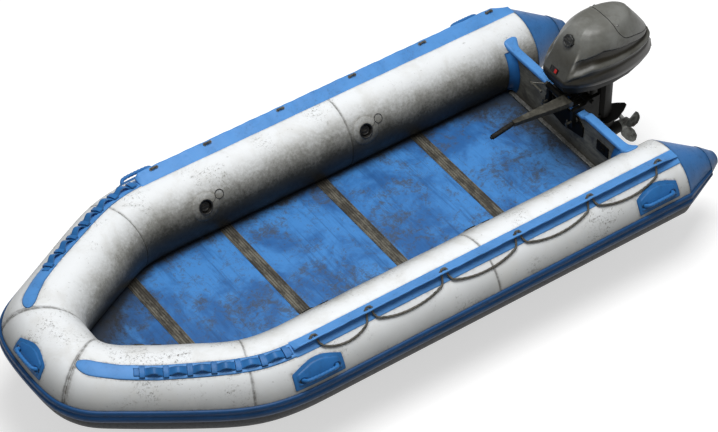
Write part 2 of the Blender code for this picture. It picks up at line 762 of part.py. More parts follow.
def flap_profile(tip_share, filled):
    """The flap's section: bonded band, root and raised lip, as (angle, height) points."""
    reach = math.hypot(FLAP_TIP_OUT, FLAP_TIP_UP)
    tip_angle = math.atan2(FLAP_TIP_UP, FLAP_TIP_OUT) / DEGREE
    tip_height = (reach - TUBE_RADIUS) * tip_share + FLAP_ROOT_HEIGHT * (1.0 - tip_share)
    under_height = max(tip_height - FLAP_TIP_WALL, 2.0 * FLAP_BAND)
    under_angle = tip_angle - FLAP_TIP_WALL / reach / DEGREE
    root = (FLAP_ROOT_ANGLE, FLAP_ROOT_HEIGHT)
    if filled:
        root = ((under_angle + FLAP_LOW_ANGLE) / 2.0, (under_height + FLAP_BAND) / 2.0)
    base = [(angle, SKIN_GAP) for angle in PATH.facet_angles(FLAP_LOW_ANGLE, FLAP_HIGH_ANGLE)]
    return base + [(FLAP_HIGH_ANGLE, FLAP_BAND), (tip_angle, tip_height), (under_angle, under_height),
                   root, (FLAP_LOW_ANGLE, FLAP_BAND)]


def lip_frame(y, side):
    """A matrix on the middle of the lip at an eyelet: Z out of its upper face."""
    tip = Vector((FLAP_TIP_OUT, FLAP_TIP_UP))
    root_turn = FLAP_HIGH_ANGLE * DEGREE
    root = Vector((math.cos(root_turn), math.sin(root_turn))) * (TUBE_RADIUS + FLAP_BAND)
    along = (tip - root).normalized()
    spot = tip - along * EYELET_INSET
    normal = Vector((-along.y, along.x))
    z_axis = Vector((side * normal.x, 0.0, normal.y))
    y_axis = Vector((0.0, 1.0, 0.0))
    x_axis = y_axis.cross(z_axis)
    turned_to = Matrix((x_axis, y_axis, z_axis)).transposed().to_4x4()
    return Matrix.Translation((side * (HALF_BEAM + spot.x), y, TUBE_Z + spot.y)) @ turned_to


def flap(side):
    """The lifeline flap along the side tube, with a pair of eyelets at each rope hold."""
    front = PATH.s_at(FLAP_FRONT_Y)
    rear = PATH.s_at(STERN_Y) - GAP
    tail = rear - FLAP_TAIL
    marks = PATH.stations(front + FLAP_GUSSET, tail)
    lengths = [front, front + FLAP_GUSSET - GAP] + sorted(marks) + [rear]
    rings = []
    for s in lengths:
        section = flap_profile(FLAP_TAIL_SHARE if s == rear else 1.0, s < front + FLAP_GUSSET)
        rings.append([PATH.point(side * s, angle, height) for angle, height in section])
    item = loft(f"{SIDE_NAMES[side]}_lifeline_flap", rings[::-side], "blue")
    shape = bmesh.new()
    depth = FLAP_ROOT_HEIGHT * 4.0
    for y in EYELET_YS:
        for way in (-1, 1):
            spot = lip_frame(y + way * EYELET_SPACING / 2.0, side)
            bmesh.ops.create_cone(shape, cap_ends=True, segments=10, radius1=ROPE_RADIUS + EYELET_CLEARANCE,
                                  radius2=ROPE_RADIUS + EYELET_CLEARANCE, depth=depth, matrix=spot)
    name = item.name + "_eyelets"
    combine(item, place(name, mesh_of(name, shape), "black"), "DIFFERENCE")


def rope_hold(y, side):
    """The rope's points through one pair of eyelets, from front to rear."""
    points = []
    over = FLAP_ROOT_HEIGHT / 2.0 + ROPE_RADIUS + ROPE_OVER_FLAP
    for way in (-1, 1):
        at = y + way * EYELET_SPACING / 2.0
        lip = lip_frame(at, side)
        tuck = PATH.point(PATH.s_at(at + way * ROPE_RADIUS, side), ROPE_TUCK_ANGLE, ROPE_TUCK_HEIGHT)
        shoulder_y = at + way * 3.0 * ROPE_RADIUS
        shoulder = PATH.point(PATH.s_at(shoulder_y, side), ROPE_SHOULDER_ANGLE, ROPE_SHOULDER_HEIGHT)
        below = lip @ Vector((0.0, 0.0, -2.2 * ROPE_RADIUS))
        inside = lip @ Vector((0.0, 0.0, 0.5 * ROPE_RADIUS))
        above = lip @ Vector((0.0, -way * 0.6 * ROPE_RADIUS, over))
        half = [shoulder, tuck, below, inside, above]
        points += half if way < 0 else list(reversed(half))
    return points


def lifeline(side):
    """The grab rope: through the flap's eyelets and hanging in swags between them."""
    points = []
    for k, y in enumerate(EYELET_YS):
        hold = rope_hold(y, side)
        if k == 0:
            hold = hold[2:]
        if k == len(EYELET_YS) - 1:
            hold = hold[:-2]
        points += hold
        if k < len(EYELET_YS) - 1:
            start = y + EYELET_SPACING / 2.0 + 3.0 * ROPE_RADIUS
            end = EYELET_YS[k + 1] - EYELET_SPACING / 2.0 - 3.0 * ROPE_RADIUS
            for length_share, drop_share in SWAG_SHARES:
                at = start + (end - start) * length_share
                angle = ROPE_SHOULDER_ANGLE + (ROPE_SAG_ANGLE - ROPE_SHOULDER_ANGLE) * drop_share
                height = ROPE_SHOULDER_HEIGHT + (ROPE_SURFACE_HEIGHT - ROPE_SHOULDER_HEIGHT) * drop_share
                points.append(PATH.point(PATH.s_at(at, side), angle, height))
    rod(f"{SIDE_NAMES[side]}_lifeline", points, ROPE_RADIUS, "rope_grey", resolution=1)


def strip_angle(s):
    """The angle of the bow strip's middle line at a length from the bow."""
    track = STRIP_TRACK
    for (s0, a0), (s1, a1) in zip(track, track[1:]):
        if s <= s1:
            share = max(0.0, (s - s0) / (s1 - s0))
            return a0 + (a1 - a0) * share
    return track[-1][1]


def strip_relief(s):
    """The half angle and height of the relief on the bow strip: bare, strap or belt loop."""
    for k in range(LOOP_COUNT):
        if abs(s - LOOP_LAST_S + k * LOOP_PITCH) <= LOOP_LENGTH / 2.0:
            return LOOP_HALF_ANGLE, LOOP_HEIGHT
    if STRAP_FRONT_S <= s <= STRAP_REAR_S:
        return STRAP_HALF_ANGLE, STRAP_HEIGHT
    return STRAP_HALF_ANGLE, STRIP_HEIGHT + GAP


def bow_strip(side):
    """The strip along the bow side with its strap and belt loops, as one moulding."""
    rear = PATH.s_at(FLAP_FRONT_Y) - STRIP_REAR_CLEARANCE

    def ring(s, width_share):
        middle, half = strip_angle(s), STRIP_HALF_ANGLE * width_share
        relief, height = strip_relief(s)
        relief = min(relief, half * STRIP_RELIEF_SHARE)
        base = [(middle + half * share, PATCH_GAP) for share in STRIP_WIDTH_SHARES]
        top = [(middle + half, STRIP_HEIGHT), (middle + relief, STRIP_HEIGHT), (middle + relief, height),
               (middle, height), (middle - relief, height), (middle - relief, STRIP_HEIGHT),
               (middle - half, STRIP_HEIGHT)]
        return [PATH.point(side * s, angle, up, faceted=False) for angle, up in base + top]

    steps = [STRAP_FRONT_S, STRAP_REAR_S]
    for k in range(LOOP_COUNT):
        middle = LOOP_LAST_S - k * LOOP_PITCH
        steps += [middle - LOOP_LENGTH / 2.0, middle + LOOP_LENGTH / 2.0]
    front = STRIP_FRONT_S + STRIP_END_SHARES[-1][0]
    lengths = [step + way * GAP for step in steps for way in (-1, 1)]
    lengths += PATH.stations(front + GAP, rear)
    rings = [ring(STRIP_FRONT_S + offset, share) for offset, share in STRIP_END_SHARES]
    rings += [ring(s, 1.0) for s in sorted(lengths)]
    loft(f"{SIDE_NAMES[side]}_bow_strip", rings[::-side], "blue")


def outline_rise(along):
    """The share of the handle patch's dome at a share of its half length."""
    for (x0, rise0), (x1, rise1) in zip(HANDLE_OUTLINE_SHARES, HANDLE_OUTLINE_SHARES[1:]):
        if along <= x1:
            return rise0 + (rise1 - rise0) * (along - x0) / (x1 - x0)
    return HANDLE_OUTLINE_SHARES[-1][1]


def handle(name, s_middle, low_angle, length_share):
    """A lifting handle: a domed patch with a raised field, and a bail that stands off it."""
    degrees = 1.0 / (TUBE_RADIUS * DEGREE)

    def body(label, inset, base, height):
        half = HANDLE_HALF_LENGTH * length_share - inset
        low = low_angle + inset * degrees
        lengths = [s_middle + along * half for along, rise in HANDLE_OUTLINE_SHARES]
        lengths += PATH.stations(s_middle - half, s_middle + half)[1:-1]
        rings = []
        for s in sorted(lengths, reverse=True):
            dome = (HANDLE_DOME_HEIGHT - HANDLE_SIDE_HEIGHT) * outline_rise((s - s_middle) / half)
            high = low_angle + (HANDLE_SIDE_HEIGHT + dome - inset) * degrees
            angles = [low + (high - low) * k / HANDLE_CELLS for k in range(HANDLE_CELLS + 1)]
            section = [(angle, base) for angle in angles] + [(angle, height) for angle in reversed(angles)]
            rings.append([PATH.point(s, angle, up, faceted=False) for angle, up in section])
        return loft(label, rings, "blue")

    item = body(name, 0.0, PATCH_GAP, HANDLE_BASE)
    field = body(name + "_field", HANDLE_FIELD_INSET, HANDLE_BASE / 2.0, HANDLE_FIELD)
    combine(item, field, "UNION")
    middle = low_angle + BAIL_UP * degrees
    half = BAIL_HALF_LENGTH * length_share
    route = [(-half, HANDLE_BASE / 2.0 + BAIL_RADIUS / 2.0), (-half, BAIL_STAND - BAIL_CORNER / 2.0),
             (-half + BAIL_CORNER / 2.0, BAIL_STAND), (half - BAIL_CORNER / 2.0, BAIL_STAND),
             (half, BAIL_STAND - BAIL_CORNER / 2.0), (half, HANDLE_BASE / 2.0 + BAIL_RADIUS / 2.0)]
    frame = PATH.frame(s_middle, middle)
    points = [frame @ Vector((along, 0.0, up)) for along, up in route]
    drop = handle_drop(s_middle, middle, half)
    points[0] -= drop
    points[-1] -= drop
    combine(item, rod(name + "_bail", points, BAIL_RADIUS, "blue"), "UNION")


def handle_drop(s_middle, angle, half):
    """How far a bail's foot lies below the frame's plane where the tube bends away."""
    frame = PATH.frame(s_middle, angle)
    foot = frame.inverted() @ PATH.point(s_middle + half, angle)
    normal = frame.to_3x3() @ Vector((0.0, 0.0, 1.0))
    return normal * max(0.0, -foot.z)


def bottom_skin():
    """The bottom skin: bonded under both tubes and drawn down to the keel between them."""
    angles = PATH.facet_angles(SKIN_EDGE_ANGLE, SKIN_TOP_ANGLE)[::-1]
    start = PATH.s_at(TRANSOM_BACK_Y)
    rings = []
    for s in PATH.stations(start, SKIN_NOSE_S):
        layers = []
        for height in (SKIN_STAND, SKIN_STAND + SKIN_WALL):
            port = [PATH.point(s, angle, height) for angle in angles]
            edge = port[-1]
            i, share = PATH.cell(s)
            out = PATH.centre[i].lerp(PATH.centre[i + 1], share).x
            keel = Vector((0.0, edge.y, edge.z - KEEL_DEPTH * out / HALF_BEAM))
            starboard = [Vector((-point.x, point.y, point.z)) for point in reversed(port)]
            layers.append(starboard[::-1] + [keel] + port[::-1])
        rings.append(layers[0] + layers[1][::-1])
    loft("bottom_skin", rings, "hull_black")


def keel_slope():
    """The bottom skin's angle between the tube and the keel."""
    edge = PATH.point(PATH.s_at(0.0), SKIN_EDGE_ANGLE)
    return math.atan2(KEEL_DEPTH, edge.x)


def keel():
    """The inflated keel between the bottom skin and the floorboards, tapered at its ends."""
    top = FLOOR_BOTTOM_Z - JOINT_WALL - GAP
    bottom = SKIN_WALL / math.cos(keel_slope()) + EDGE_GAP
    radius = (top - bottom) / (1.0 + 1.0 / math.cos(keel_slope()))
    length = KEEL_AFT_Y - KEEL_FORE_Y
    profile = [(0.0, length), (radius * KEEL_TIP_SHARE, length), (radius, length - KEEL_TAPER),
               (radius, KEEL_TAPER), (radius * KEEL_TIP_SHARE, 0.0), (0.0, 0.0)]
    at = Matrix.Translation((0.0, KEEL_FORE_Y, top - radius)) @ along_y()
    turned("keel_tube", profile, at, "hull_black")


def floor_height(y):
    """The height of the floor's upper face: level, and rising over the bow board."""
    return FLOOR_TOP_Z + BOW_BOARD_SLOPE * max(0.0, JOINT_FRONTS_Y[0] - y)


def tube_contact(s, drop):
    """The point on the tube's inner side at the floor's height less a drop."""
    low, high = 181.0, 268.0
    for _ in range(40):
        middle = (low + high) / 2.0
        point = PATH.point(s, middle, EDGE_GAP)
        if point.z > floor_height(point.y) - drop:
            low = middle
        else:
            high = middle
    return point


def inner_edge(drop):
    """The tube's inner edge at a height, from the stern to near the bow, as (y, x) points."""
    lengths = [PATH.s_at(TRANSOM_Y)] + [s for s in PATH.s if BOW_BOARD_TIP_S < s < PATH.s_at(TRANSOM_Y)]
    return [(point.y, point.x) for point in (tube_contact(s, drop) for s in lengths)]


def edge_x(edge, y):
    """The half width between the tubes at y, by straight lines between the edge's points."""
    for (y0, x0), (y1, x1) in zip(edge, edge[1:]):
        if y1 <= y <= y0:
            return x0 + (x1 - x0) * (y0 - y) / (y0 - y1)
    return edge[-1][1] if y < edge[-1][0] else edge[0][1]


def board(name, front, rear):
    """One floorboard, cut to the tubes on both sides."""
    top_edge, low_edge = inner_edge(0.0), inner_edge(BOARD_THICKNESS)
    bends = {y for y, x in top_edge + low_edge if front + EDGE_GAP < y < rear - EDGE_GAP}
    if front < JOINT_FRONTS_Y[0] < rear:
        bends.add(JOINT_FRONTS_Y[0])
    rings = []
    for y in [rear] + sorted(bends, reverse=True) + [front]:
        top_z, low_z = floor_height(y), floor_height(y) - BOARD_THICKNESS
        top_x = edge_x(top_edge, y)
        low_x = max(top_x, min(edge_x(low_edge, y), top_x + BOARD_THICKNESS))
        rings.append([(-low_x, y, low_z), (low_x, y, low_z), (top_x, y, top_z), (-top_x, y, top_z)])
    loft(name, rings, "board_blue")


def floor():
    """Five boards and the four joints of H section that hold them in line."""
    tip = inner_edge(0.0)[-1][0]
    tuck = (JOINT_WIDTH + JOINT_WEB) / 2.0
    front = tip
    for k, joint in enumerate(JOINT_FRONTS_Y):
        board(f"floorboard_{k + 1}", front, joint + JOINT_WIDTH - tuck - GAP)
        floor_joint(f"floor_joint_{k + 1}", joint)
        front = joint + tuck + GAP
    board(f"floorboard_{len(JOINT_FRONTS_Y) + 1}", front, TRANSOM_Y - FLOOR_AFT_GAP)


def floor_joint(name, front):
    """A joint of H section across the floor, its ends cut to the tubes."""
    rear = front + JOINT_WIDTH
    middle = front + JOINT_WIDTH / 2.0
    low_in, high_in = FLOOR_BOTTOM_Z - GAP, FLOOR_TOP_Z + GAP
    low_out, high_out = low_in - JOINT_WALL, high_in + JOINT_WALL
    fore_web, aft_web = middle - JOINT_WEB / 2.0, middle + JOINT_WEB / 2.0
    section = [(front, low_out), (rear, low_out), (rear, low_in), (aft_web, low_in), (aft_web, high_in),
               (rear, high_in), (rear, high_out), (front, high_out), (front, high_in), (fore_web, high_in),
               (fore_web, low_in), (front, low_in)]
    edge = inner_edge(-GAP - JOINT_WALL)
    rings = []
    for side in (STARBOARD, PORT):
        rings.append([(side * edge_x(edge, y), y, z) for y, z in section])
    loft(name, rings, "joint_grey")


def transom_outline():
    """The board's half outline at port, from the keel up to the notch, as (x, z) points."""
    s = PATH.s_at(TRANSOM_Y)
    angles = PATH.facet_angles(TRANSOM_TOP_ANGLE, TRANSOM_LOW_ANGLE)[::-1]
    side = [PATH.point(s, angle, SKIN_GAP) for angle in angles]
    keel_z = SKIN_WALL / math.cos(keel_slope()) + EDGE_GAP
    top = side[-1].z
    points = [(0.0, keel_z)] + [(point.x, point.z) for point in side]
    points += [(NOTCH_HALF + NOTCH_SLOPE, top), (NOTCH_HALF, top - NOTCH_DEPTH)]
    return points, top


def mirrored(points):
    """A closed outline from its port half, which starts on the middle line."""
    return points + [(-x, z) for x, z in reversed(points) if x > 0.0]


def transom():
    """The transom board with its outer pad, its blue cap, corner fillets, pads and foot rail."""
    points, top = transom_outline()
    middle = TRANSOM_Y + TRANSOM_THICKNESS / 2.0
    item = plate("transom_board", mirrored(points), TRANSOM_THICKNESS, upright(middle), "board_grey")
    notch = top - NOTCH_DEPTH
    height = notch - CAP_LEG - OUTER_PAD_BOTTOM - EDGE_GAP
    depth = OUTER_PAD_THICKNESS + OVERRUN
    centre = (0.0, TRANSOM_BACK_Y + (OUTER_PAD_THICKNESS - OVERRUN) / 2.0, OUTER_PAD_BOTTOM + height / 2.0)
    combine(item, box("outer_pad", (2.0 * OUTER_PAD_HALF, depth, height), centre, "board_grey"), "UNION")
    transom_cap(top)
    for side in (PORT, STARBOARD):
        fillet(side)
    pad = [(0.0, INNER_PAD_BOTTOM), (INNER_PAD_HALF, INNER_PAD_SIDE_BOTTOM), (INNER_PAD_HALF, INNER_PAD_SHOULDER),
           (INNER_PAD_TOP_HALF, INNER_PAD_TOP)]
    front = TRANSOM_Y - GAP
    plate("motor_pad", mirrored(pad), INNER_PAD_THICKNESS, upright(front - INNER_PAD_THICKNESS / 2.0), "black")
    box("transom_plate", (PLATE_WIDTH, PLATE_THICKNESS, PLATE_HEIGHT),
        (PLATE_X, front - PLATE_THICKNESS / 2.0, PLATE_Z), "black")
    box("foot_rail", (2.0 * RAIL_HALF, RAIL_DEPTH, RAIL_HEIGHT),
        (0.0, front - RAIL_DEPTH / 2.0, FLOOR_TOP_Z + GAP + RAIL_HEIGHT / 2.0), "steel")


def transom_cap(top):
    """The padded cap over the transom's edge, flared on to the tube at each end."""
    corner = PATH.point(PATH.s_at(TRANSOM_Y), TRANSOM_TOP_ANGLE).x
    front, back = TRANSOM_Y - CAP_WALL, TRANSOM_BACK_Y + OUTER_PAD_THICKNESS
    slot_front, slot_back = TRANSOM_Y - GAP, TRANSOM_BACK_Y + GAP

    def over_tube(x):
        return TUBE_Z + math.sqrt(TUBE_RADIUS ** 2 - (HALF_BEAM - x) ** 2) + EDGE_GAP

    def section(x, low, roof, crown, fore, aft):
        return [(x, fore, low), (x, fore, crown - CAP_WALL / 2.0), (x, fore + CAP_WALL / 2.0, crown),
                (x, aft - CAP_WALL / 2.0, crown), (x, aft, crown - CAP_WALL / 2.0), (x, aft, low),
                (x, slot_back, low), (x, slot_back, roof), (x, slot_front, roof), (x, slot_front, low)]

    notch = top - NOTCH_DEPTH
    notch_end = NOTCH_HALF + NOTCH_SLOPE
    straight_end = corner - CAP_RISE
    root_low = over_tube(corner)
    tip_x = corner + CAP_FLARE_REACH
    tip_low = over_tube(tip_x)
    crown = top + CAP_RISE
    half = [section(NOTCH_HALF, notch - CAP_LEG, notch + GAP, notch + CAP_WALL, front, back),
            section(notch_end, top - CAP_LEG, top + GAP, crown, front, back),
            section(straight_end, top - CAP_LEG, top + GAP, crown, front, back),
            section(corner, root_low, root_low + EDGE_GAP, crown + CAP_LEG, front - CAP_FLARE_FRONT / 2.0,
                    back + CAP_FLARE_BACK / 2.0),
            section(tip_x, tip_low, tip_low + EDGE_GAP, top + CAP_FLARE_TOP + CAP_LEG, front - CAP_FLARE_FRONT / 2.0,
                    back + CAP_FLARE_BACK)]
    rings = [[(-x, y, z) for x, y, z in ring] for ring in reversed(half)] + half
    loft("transom_cap", rings, "blue")


def fillet(side):
    """The corner strip that bonds the transom's face to the tube."""
    face, edge = TRANSOM_Y - GAP, TRANSOM_Y - FILLET
    rings = []
    for angle in FILLET_ANGLES:
        rings.append([PATH.point(PATH.s_at(edge, side), angle, SKIN_GAP),
                      PATH.point(PATH.s_at(face, side), angle, SKIN_GAP),
                      PATH.point(PATH.s_at(face, side), angle, FILLET)])
    loft(f"{SIDE_NAMES[side]}_transom_fillet", rings, "blue")


def clamp_bracket(notch):
    """The casting that hooks over the transom: two cheeks, the tilt tube and the tilt pin."""
    hook = notch + CAP_WALL + GAP
    rear_front = TRANSOM_BACK_Y + OUTER_PAD_THICKNESS + GAP
    leg_back = BRACKET_FRONT_Y + BRACKET_LEG
    chamfer = BRACKET_LEG / 2.0
    outline = [(BRACKET_FRONT_Y, BRACKET_LEG_BOTTOM), (leg_back, BRACKET_LEG_BOTTOM), (leg_back, hook),
               (rear_front, hook), (rear_front, BRACKET_LOW_Z), (rear_front + BRACKET_LOW_DEPTH, BRACKET_LOW_Z),
               (BRACKET_REAR_Y, PIN_Z - chamfer), (BRACKET_REAR_Y, BRACKET_TOP_Z),
               (BRACKET_FRONT_Y + BRACKET_HOOK_LENGTH + BRACKET_LEG, BRACKET_TOP_Z),
               (BRACKET_FRONT_Y + BRACKET_HOOK_LENGTH, BRACKET_HOOK_Z), (BRACKET_FRONT_Y + chamfer, BRACKET_HOOK_Z),
               (BRACKET_FRONT_Y, BRACKET_HOOK_Z - chamfer)]
    item = plate("clamp_bracket", outline, BRACKET_WALL, sideways(BRACKET_X), "bracket_grey")
    other = plate("clamp_bracket_cheek", outline, BRACKET_WALL, sideways(-BRACKET_X), "bracket_grey")
    combine(item, other, "UNION")
    for name, y, z, radius, half in (("tilt_tube", TILT_Y, TILT_Z, TILT_RADIUS, TILT_HALF),
                                     ("tilt_pin", PIN_Y, PIN_Z, PIN_RADIUS, TILT_HALF)):
        at = Matrix.Translation((-half, y, z)) @ along_x()
        combine(item, cylinder(name, radius, 2.0 * half, at, "steel", sides=12), "UNION")
    for side in (PORT, STARBOARD):
        hole = Matrix.Translation((side * BRACKET_X, BRACKET_FRONT_Y - OVERRUN, CLAMP_SCREW_Z)) @ along_y()
        bore = CLAMP_SCREW_RADIUS + SKIN_GAP
        cutter = cylinder(f"{SIDE_NAMES[side]}_screw_hole", bore, BRACKET_LEG + 2.0 * OVERRUN, hole, "steel", sides=12)
        combine(item, cutter, "DIFFERENCE")
        clamp_screw(side)


def clamp_screw(side):
    """A clamp screw: its foot on the motor pad, its shank through the bracket, and a T bar."""
    name = f"{SIDE_NAMES[side]}_clamp_screw"
    pad_face = TRANSOM_Y - GAP - INNER_PAD_THICKNESS - GAP
    front = BRACKET_FRONT_Y - CLAMP_SCREW_FRONT
    length = pad_face - front
    profile = [(0.0, length), (CLAMP_FOOT_RADIUS, length), (CLAMP_FOOT_RADIUS, length - CLAMP_FOOT),
               (CLAMP_SCREW_RADIUS, length - CLAMP_FOOT), (CLAMP_SCREW_RADIUS, 0.0), (0.0, 0.0)]
    at = Matrix.Translation((side * BRACKET_X, front, CLAMP_SCREW_Z)) @ along_y()
    item = turned(name, profile, at, "steel", steps=12)
    bar_y = front + CLAMP_BAR_RADIUS + CLAMP_BAR_INSET
    low = Matrix.Translation((side * BRACKET_X, bar_y, CLAMP_SCREW_Z - CLAMP_BAR_HALF))
    combine(item, cylinder(name + "_bar", CLAMP_BAR_RADIUS, 2.0 * CLAMP_BAR_HALF, low, "steel", sides=8), "UNION")


def swivel():
    """The swivel bracket: an ear sleeve on the tilt tube and the upright steering sleeve."""
    height = SWIVEL_TOP_Z - SWIVEL_LOW_Z
    at = Matrix.Translation((0.0, STEER_Y, SWIVEL_LOW_Z))
    item = cylinder("swivel_bracket", SWIVEL_RADIUS, height, at, "motor_black", sides=20)
    ear = Matrix.Translation((-SWIVEL_EAR_HALF, TILT_Y, TILT_Z)) @ along_x()
    combine(item, cylinder("swivel_ear", SWIVEL_EAR_RADIUS, 2.0 * SWIVEL_EAR_HALF, ear, "motor_black"), "UNION")
    web_low = PIN_Z + PIN_RADIUS + EDGE_GAP
    web_front = PIN_Y + PIN_RADIUS + EDGE_GAP
    outline = [(TILT_Y, TILT_Z - SWIVEL_EAR_RADIUS / 2.0), (web_front, web_low), (STEER_Y, SWIVEL_LOW_Z),
               (STEER_Y, SWIVEL_TOP_Z - EDGE_GAP), (TILT_Y, TILT_Z + SWIVEL_EAR_RADIUS / 2.0)]
    combine(item, plate("swivel_web", outline, SWIVEL_WEB, sideways(0.0), "motor_black"), "UNION")
    bore = Matrix.Translation((-SWIVEL_EAR_HALF - OVERRUN, TILT_Y, TILT_Z)) @ along_x()
    length = 2.0 * (SWIVEL_EAR_HALF + OVERRUN)
    combine(item, cylinder("swivel_bore", TILT_RADIUS + SKIN_GAP, length, bore, "steel", sides=16), "DIFFERENCE")
    pin = Matrix.Translation((0.0, STEER_Y, SWIVEL_LOW_Z - OVERRUN))
    hollow = cylinder("steering_bore", STEER_PIN_RADIUS + SKIN_GAP, height + 2.0 * OVERRUN, pin, "steel", sides=16)
    combine(item, hollow, "DIFFERENCE")


def shell_section(share_row, low_z, high_z):
    """One level of the motor's housing: its plan outline scaled by width, front and rear shares."""
    height_share, width_share, front_share, rear_share = share_row
    z = low_z + (high_z - low_z) * height_share
    length = COWL_REAR_Y - COWL_FRONT_Y
    front, rear = COWL_FRONT_Y + length * front_share, COWL_FRONT_Y + length * rear_share
    port = []
    for along, wide in PLAN_SHARES:
        port.append((COWL_HALF_WIDTH * width_share * wide, front + (rear - front) * along, z))
    return port + [(-x, y, height) for x, y, height in reversed(port[1:-1])]


def face_frame(x, z):
    """A matrix on the cowling's sloping front face: Z out of it."""
    low, high = COWL_SHARES[1], COWL_SHARES[5]
    length = COWL_REAR_Y - COWL_FRONT_Y
    rise = COWL_TOP_Z - PAN_SPLIT_Z
    low_z, high_z = PAN_SPLIT_Z + rise * low[0], PAN_SPLIT_Z + rise * high[0]
    low_y, high_y = COWL_FRONT_Y + length * low[2], COWL_FRONT_Y + length * high[2]
    run = Vector((0.0, high_y - low_y, high_z - low_z)).normalized()
    across = Vector((1.0, 0.0, 0.0))
    normal = across.cross(run)
    y = face_y(z)
    turned_to = Matrix((across, run, normal)).transposed().to_4x4()
    return Matrix.Translation((x, y, z)) @ turned_to


def face_y(z):
    """The y of the cowling's front face at a height."""
    length = COWL_REAR_Y - COWL_FRONT_Y
    rise = COWL_TOP_Z - PAN_SPLIT_Z
    levels = [(PAN_SPLIT_Z + rise * row[0], COWL_FRONT_Y + length * row[2]) for row in COWL_SHARES]
    for (z0, y0), (z1, y1) in zip(levels, levels[1:]):
        if z <= z1:
            return y0 + (y1 - y0) * (z - z0) / (z1 - z0)
    return levels[-1][1]


def cowling():
    """The motor's cowling, its control panel, the choke knob and the stop button."""
    low = PAN_SPLIT_Z + SPLIT_GAP
    rings = [shell_section(row, low, COWL_TOP_Z) for row in COWL_SHARES]
    item = loft("cowling", rings, "cowl_grey")
    panel = bmesh.new()
    depth = PANEL_STAND + OVERRUN
    bmesh.ops.create_cube(panel, size=1.0, matrix=Matrix.Diagonal((PANEL_WIDTH, PANEL_HEIGHT, 2.0 * depth, 1.0)))
    panel_at = face_frame(PANEL_X, PANEL_Z) @ Matrix.Translation((0.0, 0.0, PANEL_STAND - depth))
    combine(item, place("control_panel", mesh_of("control_panel", panel), "black", panel_at), "UNION")
    button_base = face_frame(PANEL_X, PANEL_Z) @ Matrix.Translation((STOP_OFFSET, 0.0, PANEL_STAND))
    well = button_base @ Matrix.Translation((0.0, 0.0, -STOP_TRAVEL - SKIN_GAP))
    cut_height = STOP_TRAVEL + SKIN_GAP + OVERRUN
    combine(item, cylinder("stop_well", STOP_RADIUS + SKIN_GAP, cut_height, well, "black", sides=14), "DIFFERENCE")
    foot = button_base @ Matrix.Translation((0.0, 0.0, GAP - SKIN_GAP))
    cylinder("stop_button", STOP_RADIUS, STOP_HEIGHT, foot, "red", sides=14)
    choke_knob(item)


def choke_knob(body):
    """The lobed choke knob on a short stem that slides in the cowling's front."""
    frame = face_frame(0.0, KNOB_Z)
    stem_radius = KNOB_RADIUS / 3.0
    stem = KNOB_RADIUS
    rings = []
    for height, share in ((0.0, 0.82), (KNOB_DEPTH * 0.2, 1.0), (KNOB_DEPTH * 0.8, 1.0), (KNOB_DEPTH, 0.86)):
        ring = []
        for k in range(2 * KNOB_LOBES):
            radius = KNOB_RADIUS * share * (1.0 - KNOB_LOBE_SHARE * (k % 2))
            turn = math.pi * k / KNOB_LOBES
            ring.append((radius * math.cos(turn), radius * math.sin(turn), height))
        rings.append(ring)
    out = frame @ Matrix.Translation((0.0, 0.0, FACE_SINK + GAP))
    item = loft("choke_knob", rings, "black", out)
    shaft = out @ Matrix.Translation((0.0, 0.0, -stem))
    combine(item, cylinder("choke_stem", stem_radius, stem + OVERRUN, shaft, "steel", sides=12), "UNION")
    well = shaft @ Matrix.Translation((0.0, 0.0, -GAP))
    depth = stem + FACE_SINK + 2.0 * OVERRUN
    cutter = cylinder("choke_well", stem_radius + SKIN_GAP, depth, well, "steel", sides=12)
    combine(body, cutter, "DIFFERENCE")


def drive_leg():
    """The drive leg with the lower pan, the steering arm, its knuckle and the steering pin."""
    pan = [shell_section(row, COWL_BOTTOM_Z, PAN_SPLIT_Z) for row in PAN_SHARES]
    item = loft("drive_leg", pan, "motor_black")
    rings = []
    for z in (COWL_BOTTOM_Z + OVERRUN, LEG_LOW_Z):
        rings.append(foil(LEG_FRONT_Y, LEG_REAR_Y, LEG_HALF, z))
    combine(item, loft("leg_shaft", rings, "motor_black"), "UNION")
    depth = STEER_PIN_RADIUS * 2.0
    pin_low = Matrix.Translation((0.0, STEER_Y, SWIVEL_LOW_Z - depth))
    pin_height = COWL_BOTTOM_Z + OVERRUN - SWIVEL_LOW_Z + depth
    combine(item, cylinder("steering_pin", STEER_PIN_RADIUS, pin_height, pin_low, "steel", sides=16), "UNION")
    yoke_low = SWIVEL_LOW_Z - depth
    yoke_height = depth - EDGE_GAP
    yoke_length = LEG_FRONT_Y + LEG_HALF - STEER_Y + STEER_PIN_RADIUS
    yoke_y = STEER_Y - STEER_PIN_RADIUS + yoke_length / 2.0
    combine(item, box("lower_yoke", (2.0 * SWIVEL_RADIUS, yoke_length, yoke_height),
                      (0.0, yoke_y, yoke_low + yoke_height / 2.0), "motor_black"), "UNION")
    arm_length = STEER_Y + SWIVEL_RADIUS - KNUCKLE_Y
    arm_y = KNUCKLE_Y + arm_length / 2.0
    combine(item, box("steering_arm", (2.0 * ARM_HALF, arm_length, ARM_HEIGHT),
                      (0.0, arm_y, ARM_LOW_Z + ARM_HEIGHT / 2.0), "bracket_grey"), "UNION")
    bar = Matrix.Translation((KNUCKLE_STARBOARD_X, KNUCKLE_Y, KNUCKLE_Z)) @ along_x()
    length = KNUCKLE_PORT_X - KNUCKLE_STARBOARD_X - GAP
    combine(item, cylinder("tiller_knuckle", KNUCKLE_RADIUS, length, bar, "bracket_grey", sides=14), "UNION")


